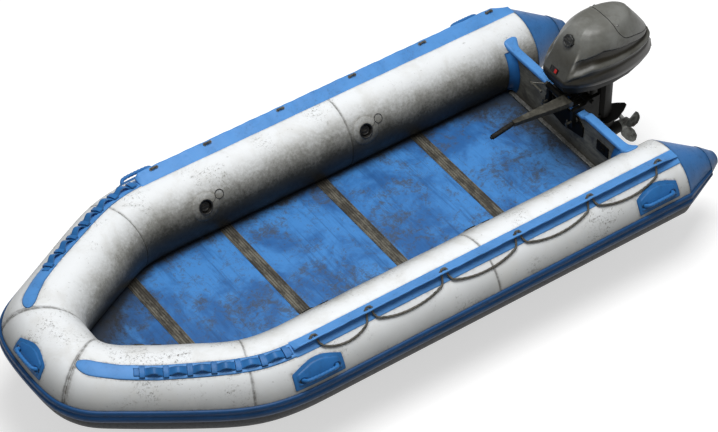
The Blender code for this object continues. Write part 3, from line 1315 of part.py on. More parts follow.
def foil(front, rear, half, z):
    """A streamlined section at a height, blunt in front and sharp behind."""
    shares = ((0.0, 0.0), (0.06, 0.55), (0.25, 1.0), (0.55, 0.92), (0.85, 0.45), (1.0, 0.12))
    port = [(half * wide, front + (rear - front) * along, z) for along, wide in shares]
    return port + [(-x, y, height) for x, y, height in reversed(port[1:])]


def gearcase():
    """The gearcase: its torpedo, strut, skeg and the plate over the propeller."""
    length = TORPEDO_REAR_Y - TORPEDO_FRONT_Y
    profile = [(0.0, length)]
    profile += [(TORPEDO_RADIUS * wide, length * along) for along, wide in reversed(TORPEDO_SHARES)]
    profile.append((0.0, length * TORPEDO_SHARES[0][0] - GAP))
    at = Matrix.Translation((0.0, TORPEDO_FRONT_Y, PROP_Z)) @ along_y()
    item = turned("gearcase", profile, at, "motor_black", steps=16)
    top = LEG_LOW_Z - GAP
    strut = [foil(FIN_FRONT_Y, FIN_REAR_Y, FIN_HALF, PROP_Z), foil(FIN_FRONT_Y, FIN_REAR_Y, FIN_HALF, PLATE_FIN_Z),
             foil(LEG_FRONT_Y, LEG_REAR_Y, LEG_HALF, top)]
    combine(item, loft("gear_strut", strut, "motor_black"), "UNION")
    low, high = PLATE_FIN_Z - PLATE_FIN_WALL / 2.0, PLATE_FIN_Z + PLATE_FIN_WALL / 2.0
    fin = [foil(PLATE_FIN_FRONT_Y, PLATE_FIN_REAR_Y, PLATE_FIN_HALF, z) for z in (low, high)]
    combine(item, loft("anti_ventilation_plate", fin, "motor_black"), "UNION")
    skeg = [(FIN_FRONT_Y, PROP_Z), (FIN_REAR_Y, PROP_Z), (SKEG_REAR_Y, SKEG_BOTTOM_Z + SKEG_WALL),
            (SKEG_REAR_Y - SKEG_WALL, SKEG_BOTTOM_Z), (SKEG_FRONT_Y + SKEG_WALL, SKEG_BOTTOM_Z)]
    combine(item, plate("skeg", skeg, SKEG_WALL, sideways(0.0), "motor_black"), "UNION")


def propeller():
    """The propeller: a turned hub and three twisted blades, set a small gap behind the gearcase."""
    front = TORPEDO_REAR_Y + SKIN_GAP
    profile = [(0.0, HUB_LENGTH), (HUB_RADIUS * 0.45, HUB_LENGTH), (HUB_RADIUS * 0.62, HUB_LENGTH * 0.86),
               (HUB_RADIUS * 0.9, HUB_LENGTH * 0.82), (HUB_RADIUS, 0.0), (0.0, 0.0)]
    at = Matrix.Translation((0.0, front, PROP_Z)) @ along_y()
    item = turned("propeller", profile, at, "prop_grey", steps=18)
    for k in range(BLADE_COUNT):
        turn = Matrix.Rotation((BLADE_TURN + 360.0 * k / BLADE_COUNT) * DEGREE, 4, "Y")
        combine(item, blade(f"propeller_blade_{k + 1}", turn, front), "UNION")


def blade(name, turn, front):
    """One blade: sections across its radius, each wide, thin and pitched less than the one inside it."""
    rings = []
    for radius_share, chord_share, pitch in BLADE_SHARES:
        radius = PROP_RADIUS * radius_share
        half = PROP_RADIUS * chord_share / 2.0
        wall = BLADE_WALL * (1.0 - radius_share / 2.0)
        middle = HUB_LENGTH / 2.0 + BLADE_RAKE * radius_share
        ring = []
        for along, up in ((-1.0, 0.0), (-0.35, 1.0), (0.4, 0.8), (1.0, 0.0), (0.4, -0.5), (-0.35, -0.5)):
            across = half * along * math.cos(pitch * DEGREE) - wall * up * math.sin(pitch * DEGREE)
            aft = half * along * math.sin(pitch * DEGREE) + wall * up * math.cos(pitch * DEGREE)
            ring.append((radius * math.cos(across / radius), middle + aft, radius * math.sin(across / radius)))
        rings.append(ring)
    return loft(name, rings, "prop_grey", Matrix.Translation((0.0, front, PROP_Z)) @ turn)


def tiller():
    """The tiller arm on the knuckle's axis, and its turning throttle grip."""
    axis = (KNUCKLE_Y, KNUCKLE_Z)
    hub = Matrix.Translation((KNUCKLE_PORT_X + GAP, *axis)) @ along_x()
    hub_length = 2.0 * (TILLER_X + TILLER_ROOT_HALF - KNUCKLE_PORT_X)
    item = cylinder("tiller_arm", KNUCKLE_RADIUS, hub_length, hub, "bracket_grey", sides=14)
    left, right = KNUCKLE_PORT_X + GAP, KNUCKLE_PORT_X + GAP + hub_length
    ring_root = [(left, KNUCKLE_Y, KNUCKLE_Z - KNUCKLE_RADIUS * 0.9), (right, KNUCKLE_Y, KNUCKLE_Z - KNUCKLE_RADIUS * 0.9),
                 (right, KNUCKLE_Y, KNUCKLE_Z + KNUCKLE_RADIUS * 0.9), (left, KNUCKLE_Y, KNUCKLE_Z + KNUCKLE_RADIUS * 0.9)]
    ring_end = [(TILLER_X - TILLER_END_HALF, TILLER_END_Y, TILLER_END_Z - TILLER_END_DEEP),
                (TILLER_X + TILLER_END_HALF, TILLER_END_Y, TILLER_END_Z - TILLER_END_DEEP),
                (TILLER_X + TILLER_END_HALF, TILLER_END_Y, TILLER_END_Z + TILLER_END_DEEP),
                (TILLER_X - TILLER_END_HALF, TILLER_END_Y, TILLER_END_Z + TILLER_END_DEEP)]
    combine(item, loft("tiller_beam", [ring_root, ring_end], "bracket_grey"), "UNION")
    out = Matrix.Translation((TILLER_X, TILLER_END_Y - GAP, TILLER_END_Z))
    aim = out @ Matrix.Rotation((90.0 + GRIP_DROP_DEGREES) * DEGREE, 4, "X")
    throttle_grip(aim)


def throttle_grip(aim):
    """The ribbed grip with its collar and end button, turned about its own axis."""
    start = (GRIP_RADIUS - 2.0 * GRIP_RIB) * math.tan(GRIP_DROP_DEGREES * DEGREE) + GAP
    profile = [(0.0, GRIP_LENGTH + GRIP_BUTTON_LENGTH), (GRIP_BUTTON_RADIUS, GRIP_LENGTH + GRIP_BUTTON_LENGTH),
               (GRIP_BUTTON_RADIUS, GRIP_LENGTH)]
    ribs = GRIP_LENGTH - start - GRIP_COLLAR
    for k in range(GRIP_RIBS):
        high = GRIP_LENGTH - ribs * k / GRIP_RIBS
        low = GRIP_LENGTH - ribs * (k + 0.5) / GRIP_RIBS
        profile += [(GRIP_RADIUS, high), (GRIP_RADIUS - GRIP_RIB, low)]
    profile += [(GRIP_RADIUS - GRIP_RIB, start + GRIP_COLLAR), (GRIP_RADIUS - 2.0 * GRIP_RIB, start), (0.0, start)]
    turned("throttle_grip", profile, aim, "black", steps=12)


def shift_lever():
    """The shift lever at the knuckle's starboard end: hub, arm and cross handle."""
    face = KNUCKLE_STARBOARD_X - GAP
    hub = Matrix.Translation((face - LEVER_HUB_LENGTH, KNUCKLE_Y, KNUCKLE_Z)) @ along_x()
    item = cylinder("shift_lever", LEVER_HUB_RADIUS, LEVER_HUB_LENGTH, hub, "bracket_grey", sides=14)
    root = Vector((face - LEVER_HUB_LENGTH / 2.0, KNUCKLE_Y, KNUCKLE_Z))
    tip = Vector((KNUCKLE_STARBOARD_X - LEVER_OUT, KNUCKLE_Y - LEVER_FORE, KNUCKLE_Z))
    combine(item, rod("lever_arm", [root, root.lerp(tip, 0.5), tip], LEVER_RADIUS, "bracket_grey"), "UNION")
    start = tip - Vector((LEVER_RADIUS, 0.0, 0.0))
    end = tip + Vector((LEVER_BAR_LENGTH, 0.0, 0.0))
    combine(item, rod("lever_bar", [start, end], LEVER_BAR_RADIUS, "bracket_grey"), "UNION")


def motor():
    """The outboard motor and what clamps it to the transom."""
    points, top = transom_outline()
    clamp_bracket(top - NOTCH_DEPTH)
    swivel()
    drive_leg()
    cowling()
    gearcase()
    propeller()
    tiller()
    shift_lever()
    rod("throttle_cable", [Vector(point) for point in CABLE_ROUTE], CABLE_RADIUS, "black")


def main():
    """Build the whole boat."""
    clear_scene()
    tubes()
    strakes()
    for side in (PORT, STARBOARD):
        flap(side)
        lifeline(side)
        bow_strip(side)
        for place_name, y in zip(("fore", "aft"), HANDLE_YS):
            handle(f"{SIDE_NAMES[side]}_{place_name}_handle", PATH.s_at(y, side), HANDLE_LOW_ANGLE, 1.0)
    handle("bow_handle", 0.0, BOW_HANDLE_LOW_ANGLE, BOW_HANDLE_SHARE)
    bottom_skin()
    keel()
    floor()
    transom()
    motor()


main()
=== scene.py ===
# %% [markdown]
# An inflatable boat with a boarded floor and a small outboard motor, dressed for a picture.
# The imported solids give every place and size. Each cell below makes one piece or one finish,
# and each finished piece rides on the body that carries it.

import math

import bmesh
import bpy
import numpy as np
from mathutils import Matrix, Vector


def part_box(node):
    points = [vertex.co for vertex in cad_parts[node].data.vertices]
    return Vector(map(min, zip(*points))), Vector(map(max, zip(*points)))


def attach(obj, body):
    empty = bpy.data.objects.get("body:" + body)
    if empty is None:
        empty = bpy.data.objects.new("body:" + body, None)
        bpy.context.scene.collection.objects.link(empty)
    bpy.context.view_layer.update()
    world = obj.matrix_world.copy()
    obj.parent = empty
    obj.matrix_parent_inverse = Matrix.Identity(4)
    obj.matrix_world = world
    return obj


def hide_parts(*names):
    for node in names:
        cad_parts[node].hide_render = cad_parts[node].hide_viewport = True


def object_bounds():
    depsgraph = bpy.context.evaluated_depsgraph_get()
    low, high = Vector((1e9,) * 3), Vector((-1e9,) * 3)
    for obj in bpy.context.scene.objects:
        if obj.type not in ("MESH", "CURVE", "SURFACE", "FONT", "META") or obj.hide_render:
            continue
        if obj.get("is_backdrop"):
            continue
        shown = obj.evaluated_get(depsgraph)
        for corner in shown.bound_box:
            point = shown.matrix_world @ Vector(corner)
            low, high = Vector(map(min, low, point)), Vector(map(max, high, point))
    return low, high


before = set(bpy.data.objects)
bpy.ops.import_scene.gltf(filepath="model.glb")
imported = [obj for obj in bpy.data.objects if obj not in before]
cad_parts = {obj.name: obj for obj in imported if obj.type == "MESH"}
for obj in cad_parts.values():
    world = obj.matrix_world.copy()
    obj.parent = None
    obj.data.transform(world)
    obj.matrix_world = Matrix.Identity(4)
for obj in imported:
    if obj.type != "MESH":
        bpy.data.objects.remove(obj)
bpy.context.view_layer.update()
SIDES = ((1, "port"), (-1, "starboard"))

# %% [markdown]
# Shader maths reads best as plain formulas. One small class wraps a socket, so that adding or
# multiplying two of them adds the Math nodes, and a second class holds one whole material.

# %% Shader helpers


class Field:
    """A socket of a material that takes part in Python arithmetic."""

    def __init__(self, finish, socket):
        self.finish = finish
        self.socket = socket

    def maths(self, operation, *values):
        return self.finish.node("ShaderNodeMath", {"operation": operation}, values)

    def __add__(self, other):
        return self.maths("ADD", self, other)

    def __sub__(self, other):
        return self.maths("SUBTRACT", self, other)

    def __rsub__(self, other):
        return self.maths("SUBTRACT", other, self)

    def __mul__(self, other):
        return self.maths("MULTIPLY", self, other)

    __radd__ = __add__
    __rmul__ = __mul__

    def most(self, other):
        return self.maths("MAXIMUM", self, other)

    def least(self, other):
        return self.maths("MINIMUM", self, other)

    def ramp(self, low, high):
        """0 at low, 1 at high and a smooth step between; low may be the higher one."""
        sockets = {"Value": self, "From Min": low, "From Max": high}
        return self.finish.node("ShaderNodeMapRange", {"interpolation_type": "SMOOTHSTEP"}, sockets)


def srgb(red, green, blue):
    """A colour read as 0 to 255 from a screen, as the linear value that a shader takes."""
    levels = np.array([red, green, blue]) / 255.0
    linear = np.where(levels <= 0.04045, levels / 12.92, ((levels + 0.055) / 1.055) ** 2.4)
    return (*(float(level) for level in linear), 1.0)


class Finish:
    """A Principled material, and the one method that adds any node to it."""

    def __init__(self, name, roughness=0.5, metallic=0.0, specular=None):
        self.material = bpy.data.materials.new(name)
        self.material.use_nodes = True
        self.nodes = self.material.node_tree.nodes
        self.links = self.material.node_tree.links
        self.shader = self.nodes["Principled BSDF"]
        self.set("Roughness", roughness)
        self.set("Metallic", metallic)
        if specular is not None:
            self.set("Specular IOR Level", specular)

    def node(self, kind, settings=None, sockets=(), output=0):
        """Adds a node: its settings first, then the values or links of its sockets."""
        made = self.nodes.new(kind)
        for key, value in (settings or {}).items():
            setattr(made, key, value)
        for key, value in sockets.items() if isinstance(sockets, dict) else enumerate(sockets):
            self.plug(made.inputs[key], value)
        return Field(self, made.outputs[output])

    def plug(self, socket, value):
        if isinstance(value, Field):
            self.links.new(value.socket, socket)
        else:
            socket.default_value = value

    def set(self, socket, value):
        self.plug(self.shader.inputs[socket], value)

    def place(self, scale=(1.0, 1.0, 1.0)):
        """The point's own place in metres, stretched."""
        where = self.node("ShaderNodeTexCoord", output="Object")
        return self.node("ShaderNodeMapping", {}, {"Vector": where, "Scale": scale})

    def height(self):
        """How high the point lies, in metres."""
        where = self.node("ShaderNodeTexCoord", output="Object")
        return self.node("ShaderNodeSeparateXYZ", {}, [where], output=2)

    def number(self, name):
        """A number stored at the mesh's points."""
        return self.node("ShaderNodeAttribute", {"attribute_name": name}, output="Fac")

    def noise(self, scale, detail=3.0, rough=0.55, stretch=(1.0, 1.0, 1.0), twist=0.0):
        """Cloudy noise from 0 to 1 over the point's own place."""
        sockets = {"Vector": self.place(stretch), "Scale": scale, "Detail": detail}
        return self.node("ShaderNodeTexNoise", {}, {**sockets, "Roughness": rough, "Distortion": twist})

    def coats(self, colour, *coats):
        """Colours laid over one another: each coat is a colour and its share from 0 to 1."""
        settings = {"data_type": "RGBA", "clamp_factor": True}
        colour = colour if isinstance(colour, Field) else srgb(*colour)
        for over, share in coats:
            over = over if isinstance(over, Field) else srgb(*over)
            colour = self.node("ShaderNodeMix", settings, {0: share, 6: colour, 7: over}, output=2)
        return colour

    def bump(self, height, distance):
        self.set("Normal", self.node("ShaderNodeBump", {}, {"Height": height, "Distance": distance}))


def two_tone(name, low, high, grain, span=None, gloss=None, bump=None, **plain):
    """A finish mottled between two colours by one noise. The gloss follows the same noise, as
    gloss[0] + noise * gloss[1], and bump holds a finer noise and its depth in metres."""
    finish = Finish(name, **plain)
    mottle = finish.noise(*grain)
    finish.set("Base Color", finish.coats(low, (high, mottle.ramp(*span) if span else mottle)))
    if gloss:
        finish.set("Roughness", mottle * gloss[1] + gloss[0])
    if bump:
        finish.bump(finish.noise(*bump[:-1]), bump[-1])
    return finish


# %% [markdown]
# Surfaces are worked out as whole arrays: a grid of points, rows along the piece and columns
# round it. One function turns any grid into a mesh, closes it round and caps its ends. A mesh
# whose volume comes out negative is inside out, so its faces are turned round.

# %% Mesh helpers


def cut(values):
    """Values cut to the span from 0 to 1."""
    return np.clip(values, 0.0, 1.0)


def bell(values, spread):
    """exp(-(values / spread) squared): 1 at 0, and nearly nothing two spreads away."""
    return np.exp(-(values / spread) ** 2)


def turns(steps):
    """Angles that go once round, the last one left out."""
    return np.linspace(0.0, 2.0 * np.pi, steps, endpoint=False)


def unit(vectors):
    """Vectors brought to length 1."""
    return vectors / np.maximum(np.linalg.norm(vectors, axis=-1, keepdims=True), 1e-12)


def arc_length(points):
    """The length along a route at each of its points."""
    steps = np.linalg.norm(np.diff(points, axis=0), axis=1)
    return np.concatenate([[0.0], np.cumsum(steps)])


def grid_faces(rows, columns, round_rows):
    """The corners of every cell; the last column joins the first, and a row too where asked."""
    down = rows if round_rows else rows - 1
    row, column = np.meshgrid(np.arange(down), np.arange(columns), indexing="ij")
    near, far, beside = row * columns, (row + 1) % rows * columns, (column + 1) % columns
    corners = [near + column, near + beside, far + beside, far + column]
    return np.stack(corners, axis=-1).reshape(-1, 4)


def sheet_mesh(grid, caps=True, numbers=None, round_rows=False):
    """A mesh over a grid (rows, columns, 3), with numbers stored at its points. A cap is a fan
    to the middle of an end row."""
    rows, columns = grid.shape[:2]
    points = grid.reshape(-1, 3)
    faces = grid_faces(rows, columns, round_rows).tolist()
    numbers = {key: np.broadcast_to(values, (rows, columns)).reshape(-1)
               for key, values in (numbers or {}).items()}
    for end in (0, rows - 1) if caps and not round_rows else ():
        centre, first = len(points), end * columns
        points = np.vstack([points, grid[end].mean(axis=0)])
        for key, values in numbers.items():
            numbers[key] = np.append(values, values[first:first + columns].mean())
        ring = [(first + k, first + (k + 1) % columns) for k in range(columns)]
        faces += [(centre, b, a) if end == 0 else (centre, a, b) for a, b in ring]
    thirds = [face[:3] for face in faces] + [(face[0], *face[2:]) for face in faces if len(face) == 4]
    a, b, c = (points[np.array(thirds)[:, k]] - points.mean(axis=0) for k in range(3))
    if np.einsum("ij,ij->i", a, np.cross(b, c)).sum() < 0.0:
        faces = [face[::-1] for face in faces]
    return stored(points, faces, numbers)


def stored(points, faces, numbers):
    """A mesh from its points, its faces and the numbers at its points."""
    mesh = bpy.data.meshes.new("sheet")
    mesh.from_pydata(points, [], faces)
    for key, values in numbers.items():
        layer = mesh.attributes.new(key, "FLOAT", "POINT")
        layer.data.foreach_set("value", np.asarray(values, np.float32).ravel())
    return mesh


def joined(*meshes):
    """Several meshes as one, their numbers kept."""
    points, faces, numbers, first = [], [], {}, 0
    keys = sorted({layer.name for mesh in meshes for layer in mesh.attributes
                   if layer.data_type == "FLOAT"})
    for mesh in meshes:
        count = len(mesh.vertices)
        place = np.empty(count * 3)
        mesh.vertices.foreach_get("co", place)
        points.append(place.reshape(-1, 3))
        faces += [tuple(first + k for k in face.vertices) for face in mesh.polygons]
        for key in keys:
            values = np.zeros(count, np.float32)
            if key in mesh.attributes:
                mesh.attributes[key].data.foreach_get("value", values)
            numbers.setdefault(key, []).append(values)
        first += count
        bpy.data.meshes.remove(mesh)
    numbers = {key: np.concatenate(values) for key, values in numbers.items()}
    return stored(np.concatenate(points), faces, numbers)


def piece(name, mesh, finish, crease=38.0, body="hull", stands_for=None):
    """A finished piece: its material, its smooth shading, and the body it moves with."""
    mesh.name = name
    made = bpy.data.objects.new(name, mesh)
    bpy.context.scene.collection.objects.link(made)
    mesh.materials.clear()
    mesh.materials.append(finish.material)
    mesh.shade_smooth()
    if crease:
        mesh.set_sharp_from_angle(angle=math.radians(crease))
    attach(made, body)
    if stands_for:
        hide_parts(stands_for)
    return made


def smooth_route(points, step):
    """A smooth curve through points: each span is a cubic whose end slopes are the mean of
    the chords on both sides. It is sampled about every step metres."""
    points = np.asarray(points, float)
    knots = arc_length(points)
    slope = np.gradient(points, knots, axis=0)
    at = np.linspace(0.0, knots[-1], int(knots[-1] / step) + 2)
    i = np.clip(np.searchsorted(knots, at, side="right") - 1, 0, len(knots) - 2)
    span = np.diff(knots)[i][:, None]
    t = (at - knots[i])[:, None] / span
    start, end = points[i], points[i + 1]
    return ((2 * t ** 3 - 3 * t ** 2 + 1) * start + (t ** 3 - 2 * t ** 2 + t) * span * slope[i]
            + (-2 * t ** 3 + 3 * t ** 2) * end + (t ** 3 - t ** 2) * span * slope[i + 1])


def rope_grid(route, radius, sides=12, strands=0, lay=30.0, up=(0.0, 0.0, 1.0)):
    """Rings round a route: centre + radius (cos a side + sin a top). With strands the radius
    swells by a tenth along helices, as laid rope does."""
    run = unit(np.gradient(route, axis=0))
    side = unit(np.cross(run, np.asarray(up)))
    top = np.cross(side, run)
    turn = turns(sides)[None, :]
    swell = 1.0 + 0.10 * np.cos(strands * (turn - arc_length(route)[:, None] * lay)) * bool(strands)
    size = np.broadcast_to(radius, (len(route),))[:, None] * swell
    ring = np.cos(turn)[..., None] * side[:, None, :] + np.sin(turn)[..., None] * top[:, None, :]
    return route[:, None, :] + size[..., None] * ring


def lathe_grid(profile, steps=32, lobes=0, depth=0.0):
    """A turned surface: (radius, height) pairs spun round Z, with lobes pressed in if asked."""
    turn = turns(steps)[None, :]
    radius, height = (column[:, None] for column in np.asarray(profile, float).T)
    radius = radius * (1.0 - depth * (0.5 - 0.5 * np.cos(lobes * turn)))
    return np.stack([radius * np.cos(turn), radius * np.sin(turn), height + 0.0 * turn], axis=-1)


def torus_grid(major, minor, steps=28, sides=8):
    """A ring: (major + minor cos b) round Z, at a height of minor sin b."""
    around, tube = turns(steps)[:, None], turns(sides)[None, :]
    reach = major + minor * np.cos(tube)
    high = minor * np.sin(tube) + 0.0 * around
    return np.stack([reach * np.cos(around), reach * np.sin(around), high], axis=-1)


def rounded(profile, radius, steps=3):
    """A profile with each inner corner made a short curve (a quadratic through the corner)."""
    profile = [np.asarray(point, float) for point in profile]
    result = [profile[0]]
    for before, corner, after in zip(profile, profile[1:], profile[2:]):
        to_before, to_after = before - corner, after - corner
        lengths = np.linalg.norm(to_before), np.linalg.norm(to_after)
        short = min(radius, lengths[0] / 2.01, lengths[1] / 2.01)
        start = corner + to_before / lengths[0] * short
        end = corner + to_after / lengths[1] * short
        for t in np.linspace(0.0, 1.0, steps + 1):
            result.append((1 - t) ** 2 * start + 2 * t * (1 - t) * corner + t ** 2 * end)
    return np.array(result + [profile[-1]])


def ring_profile(profile, radius, steps=3):
    """A closed profile with every corner rounded."""
    profile = [np.asarray(point, float) for point in profile]
    start = (profile[0] + profile[-1]) / 2.0
    return rounded([start, *profile, start], radius, steps)[:-1]


def slab_grid(half_x, half_y, radius, steps, layers):
    """A plate with rounded corners: one ring for each layer's height and share of the size."""
    corners = [(-half_x, -half_y), (half_x, -half_y), (half_x, half_y), (-half_x, half_y)]
    ring = ring_profile(corners, radius, steps)
    return np.array([[(x * size, y * size, z) for x, y in ring] for z, size in layers])


def seat(origin, out, run=(1.0, 0.0, 0.0)):
    """A turn and a place that carry X to run and Z to out."""
    out = unit(np.asarray(out, float))
    run = np.asarray(run, float)
    run = unit(run - out * np.dot(run, out))
    return np.stack([run, np.cross(out, run), out], axis=1), np.asarray(origin, float)


def set_in(grid, where):
    """A grid carried into a seat."""
    turn, origin = where
    return grid @ turn.T + origin


def turned(profile, radius, steps, where, **lobes):
    """A turned piece with its corners rounded, set into its seat."""
    profile = rounded(profile, radius) if radius else profile
    return sheet_mesh(set_in(lathe_grid(profile, steps, **lobes), where), caps=False)


# %% [markdown]
# The picture was taken from high over the port bow with a long lens. The floor lies below the
# motor's skeg, because the boat is held at its keel. The lamps are set so that a colour renders
# about as it is written, and the world is white for the camera only.

# %% Camera, floor and light
AIM = np.array([0.0, 0.05, 0.551])
AZIMUTH, ELEVATION = math.radians(55.0), math.radians(43.97)
DISTANCE, FOCAL_LENGTH, FAR_LIMIT = 16.35, 148.4, 200.0
WIDTH, HEIGHT, AIM_ACROSS, AIM_DOWN = 718.0, 432.0, 356.0, 189.0
FLOOR_Z, FLOOR_REACH = -0.172, 30.0
FLOOR_BOUNCE, FLOOR_SEEN, FLOOR_GLOW = 0.07, 0.62, 0.58
WORLD_LIGHT = 0.20


def standing(name, data, place, way):
    """An object that looks along a direction from a place."""
    made = bpy.data.objects.new(name, data)
    bpy.context.scene.collection.objects.link(made)
    made.location = place
    made.rotation_mode = "QUATERNION"
    made.rotation_quaternion = Vector(way).to_track_quat("-Z", "Y")
    return made


back = np.array([math.sin(AZIMUTH) * math.cos(ELEVATION), -math.cos(AZIMUTH) * math.cos(ELEVATION),
                 math.sin(ELEVATION)])
lens = bpy.data.cameras.new("camera")
lens.lens, lens.sensor_width, lens.clip_end = FOCAL_LENGTH, 36.0, FAR_LIMIT
lens.shift_x = (WIDTH / 2.0 - AIM_ACROSS) / WIDTH
lens.shift_y = (AIM_DOWN - HEIGHT / 2.0) / WIDTH
bpy.context.scene.camera = standing("camera", lens, AIM + back * DISTANCE, -back)

# The camera and polished metal see a near white floor with the boat's shadow on it. What the
# floor throws back on the boat is a plain grey, so that its undersides stay as dark as written.
pale = Finish("pale_floor", 0.9)
pale.set("Base Color", (FLOOR_BOUNCE, FLOOR_BOUNCE, FLOOR_BOUNCE, 1.0))
rays = [pale.node("ShaderNodeLightPath", output=f"Is {kind} Ray") for kind in ("Camera", "Glossy")]
white = pale.node("ShaderNodeBsdfDiffuse", {}, {"Color": (FLOOR_SEEN, FLOOR_SEEN, FLOOR_SEEN, 1.0)})
glow = pale.node("ShaderNodeEmission", {}, {"Strength": FLOOR_GLOW})
white = pale.node("ShaderNodeAddShader", {}, [white, glow])
grey = Field(pale, pale.shader.outputs[0])
pale.plug(pale.nodes["Material Output"].inputs["Surface"],
          pale.node("ShaderNodeMixShader", {}, [rays[0].most(rays[1]), grey, white]))
ground = bpy.data.meshes.new("pale_floor")
ground.from_pydata([(x * FLOOR_REACH, y * FLOOR_REACH, FLOOR_Z)
                    for x, y in ((-1, -1), (1, -1), (1, 1), (-1, 1))], [], [(0, 1, 2, 3)])
ground.materials.append(pale.material)
studio_floor = bpy.data.objects.new("pale_floor", ground)
bpy.context.scene.collection.objects.link(studio_floor)
studio_floor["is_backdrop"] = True

# Two square area lamps look at the boat's middle.
for name, place, power in (("key", (0.5, 0.2, 8.0), 590.0), ("fill", (6.0, -5.0, 5.0), 25.0)):
    data = bpy.data.lights.new(name, "AREA")
    data.energy, data.size = power, 5.0
    standing(name, data, place, np.array([0.0, 0.0, 0.2]) - np.asarray(place))

world = bpy.data.worlds.new("studio")
bpy.context.scene.world = world
world.use_nodes = True
sky, wires = world.node_tree.nodes, world.node_tree.links
light, plain = sky["Background"], sky.new("ShaderNodeBackground")
for background, strength in ((light, WORLD_LIGHT), (plain, 1.0)):
    background.inputs["Color"].default_value = (1.0, 1.0, 1.0, 1.0)
    background.inputs["Strength"].default_value = strength
path, choice = sky.new("ShaderNodeLightPath"), sky.new("ShaderNodeMixShader")
wires.new(path.outputs["Is Camera Ray"], choice.inputs[0])
wires.new(light.outputs[0], choice.inputs[1])
wires.new(plain.outputs[0], choice.inputs[2])
wires.new(choice.outputs[0], sky["World Output"].inputs["Surface"])
bpy.context.scene.view_settings.view_transform = "Standard"

# %% [markdown]
# Everything on the hull hangs on the side tubes' middle line: straight sides, a bow bent in
# mitred lengths, and cones at the stern. A point is named by s, the length from the middle of
# the bow (port positive), by an angle (0 outer side, 90 top, 180 inner side) and by a height.

# %% The tubes' middle line
HALF_BEAM = 0.700
TUBE_RADIUS, BOW_RADIUS = 0.230, 0.214
TUBE_Z = 0.2888
STERN_Y, MID_SEAM_Y = 1.699, 0.364
CONE_SEAM_Y, CONE_TIP_Y = 1.969, 2.059
SIDE_SEAM_S, NOSE_SEAM_S = 1.080, 0.235
# The bow's control points, as shares of the half beam and of the length of the bend.
BOW_START_Y, BEND_LENGTH = -0.250, 1.625
CONTROL = np.array([(1.0, -0.185), (1.0, 0.0), (1.0, 0.2615), (1.004, 0.492), (0.827, 0.637),
                    (0.402, 0.957), (0.348, 0.997)])
SPAN_STEPS = (1, 2, 3, 4, 4, 4, 4, 4, 3, 2, 1)
FINE_STEPS = 60
# The inner side of the tight bend: length, x and y.
INNER_BEND = np.array([(0.0, 0.0, -1.652), (0.24, 0.072, -1.648), (0.34, 0.110, -1.630),
                       (0.42, 0.147, -1.592), (0.50, 0.191, -1.523)])
RISE_START_Y, BOW_RISE, STERN_DROP = -0.748, 0.072, 0.125
STRAIGHT_POINTS, LINE_POINTS, BLUR = 260, 1800, 4


def spline(control, steps):
    """A uniform cubic B-spline in plan, each span sampled its own number of times."""
    spans = []
    for k, count in enumerate(steps):
        t = np.linspace(0.0, 1.0, count, endpoint=False)[:, None]
        weights = [(1 - t) ** 3, 3 * t ** 3 - 6 * t ** 2 + 4, -3 * t ** 3 + 3 * t ** 2 + 3 * t + 1, t ** 3]
        spans.append(sum(w * control[k + j] for j, w in enumerate(weights)) / 6.0)
    return np.concatenate(spans + [((control[-3] + 4 * control[-2] + control[-1]) / 6.0)[None]])


def blur(values):
    """A running mean over 2 BLUR + 1 neighbours, with the ends held."""
    padded = np.pad(values, (BLUR, BLUR), mode="edge")
    return np.convolve(padded, np.ones(2 * BLUR + 1) / (2 * BLUR + 1), mode="valid")


def middle_line():
    """Rows s, centre x, y, z, out x, y, half width and radius, evenly along the whole tube.

    In the tight bend the section is centred between the outer side and an inner corner."""
    half = CONTROL * [HALF_BEAM, -BEND_LENGTH] + [0.0, BOW_START_Y]
    control = np.concatenate([half, (half * [-1.0, 1.0])[::-1]])
    coarse, fine = spline(control, SPAN_STEPS), spline(control, [FINE_STEPS] * len(SPAN_STEPS))
    length = arc_length(coarse)
    knots = [np.arange(steps) / steps + k for k, steps in enumerate(SPAN_STEPS)]
    knots = np.concatenate([*knots, [len(SPAN_STEPS)]])
    s = np.interp(np.arange(len(fine)) / FINE_STEPS, knots, length[-1] / 2.0 - length)
    straight = np.linspace(CONE_TIP_Y + 0.02, fine[0, 1] + 0.02, STRAIGHT_POINTS)
    sides = s[0] + straight - fine[0, 1]
    s = np.concatenate([sides, s, -sides[::-1]])
    beam = np.full(STRAIGHT_POINTS, HALF_BEAM)
    x = np.concatenate([beam, fine[:, 0], -beam])
    y = np.concatenate([straight, fine[:, 1], straight[::-1]])
    run = unit(np.stack([np.gradient(x), np.gradient(y)], axis=1))
    out = np.stack([-run[:, 1], run[:, 0]], axis=1)
    radius = TUBE_RADIUS + (BOW_RADIUS - TUBE_RADIUS) * cut(-0.900 - y)
    outer = np.stack([x, y], axis=1) + out * radius[:, None]
    inner = np.stack([x, y], axis=1) - out * radius[:, None]
    bend = np.abs(s) < INNER_BEND[-1, 0]
    inner[bend, 0] = np.interp(np.abs(s[bend]), *INNER_BEND.T[:2]) * np.sign(s[bend])
    inner[bend, 1] = np.interp(np.abs(s[bend]), *INNER_BEND.T[::2])
    even = np.linspace(s[0], s[-1], LINE_POINTS)
    rows = [blur(np.interp(-even, -s, row)) for row in (*outer.T, *inner.T)]
    centre = np.stack([rows[0] + rows[2], rows[1] + rows[3]]) / 2.0
    across = np.stack([rows[0] - rows[2], rows[1] - rows[3]])
    wide = np.hypot(*across) / 2.0
    rise = np.clip((RISE_START_Y - centre[1]) / (RISE_START_Y - y.min()), 0.0, None)
    z = TUBE_Z + BOW_RISE * rise ** 2 - STERN_DROP * np.clip(centre[1] - STERN_Y, 0.0, None)
    return np.stack([even, *centre, z, *(across / (2 * wide)), wide, np.interp(-even, -s, radius)])


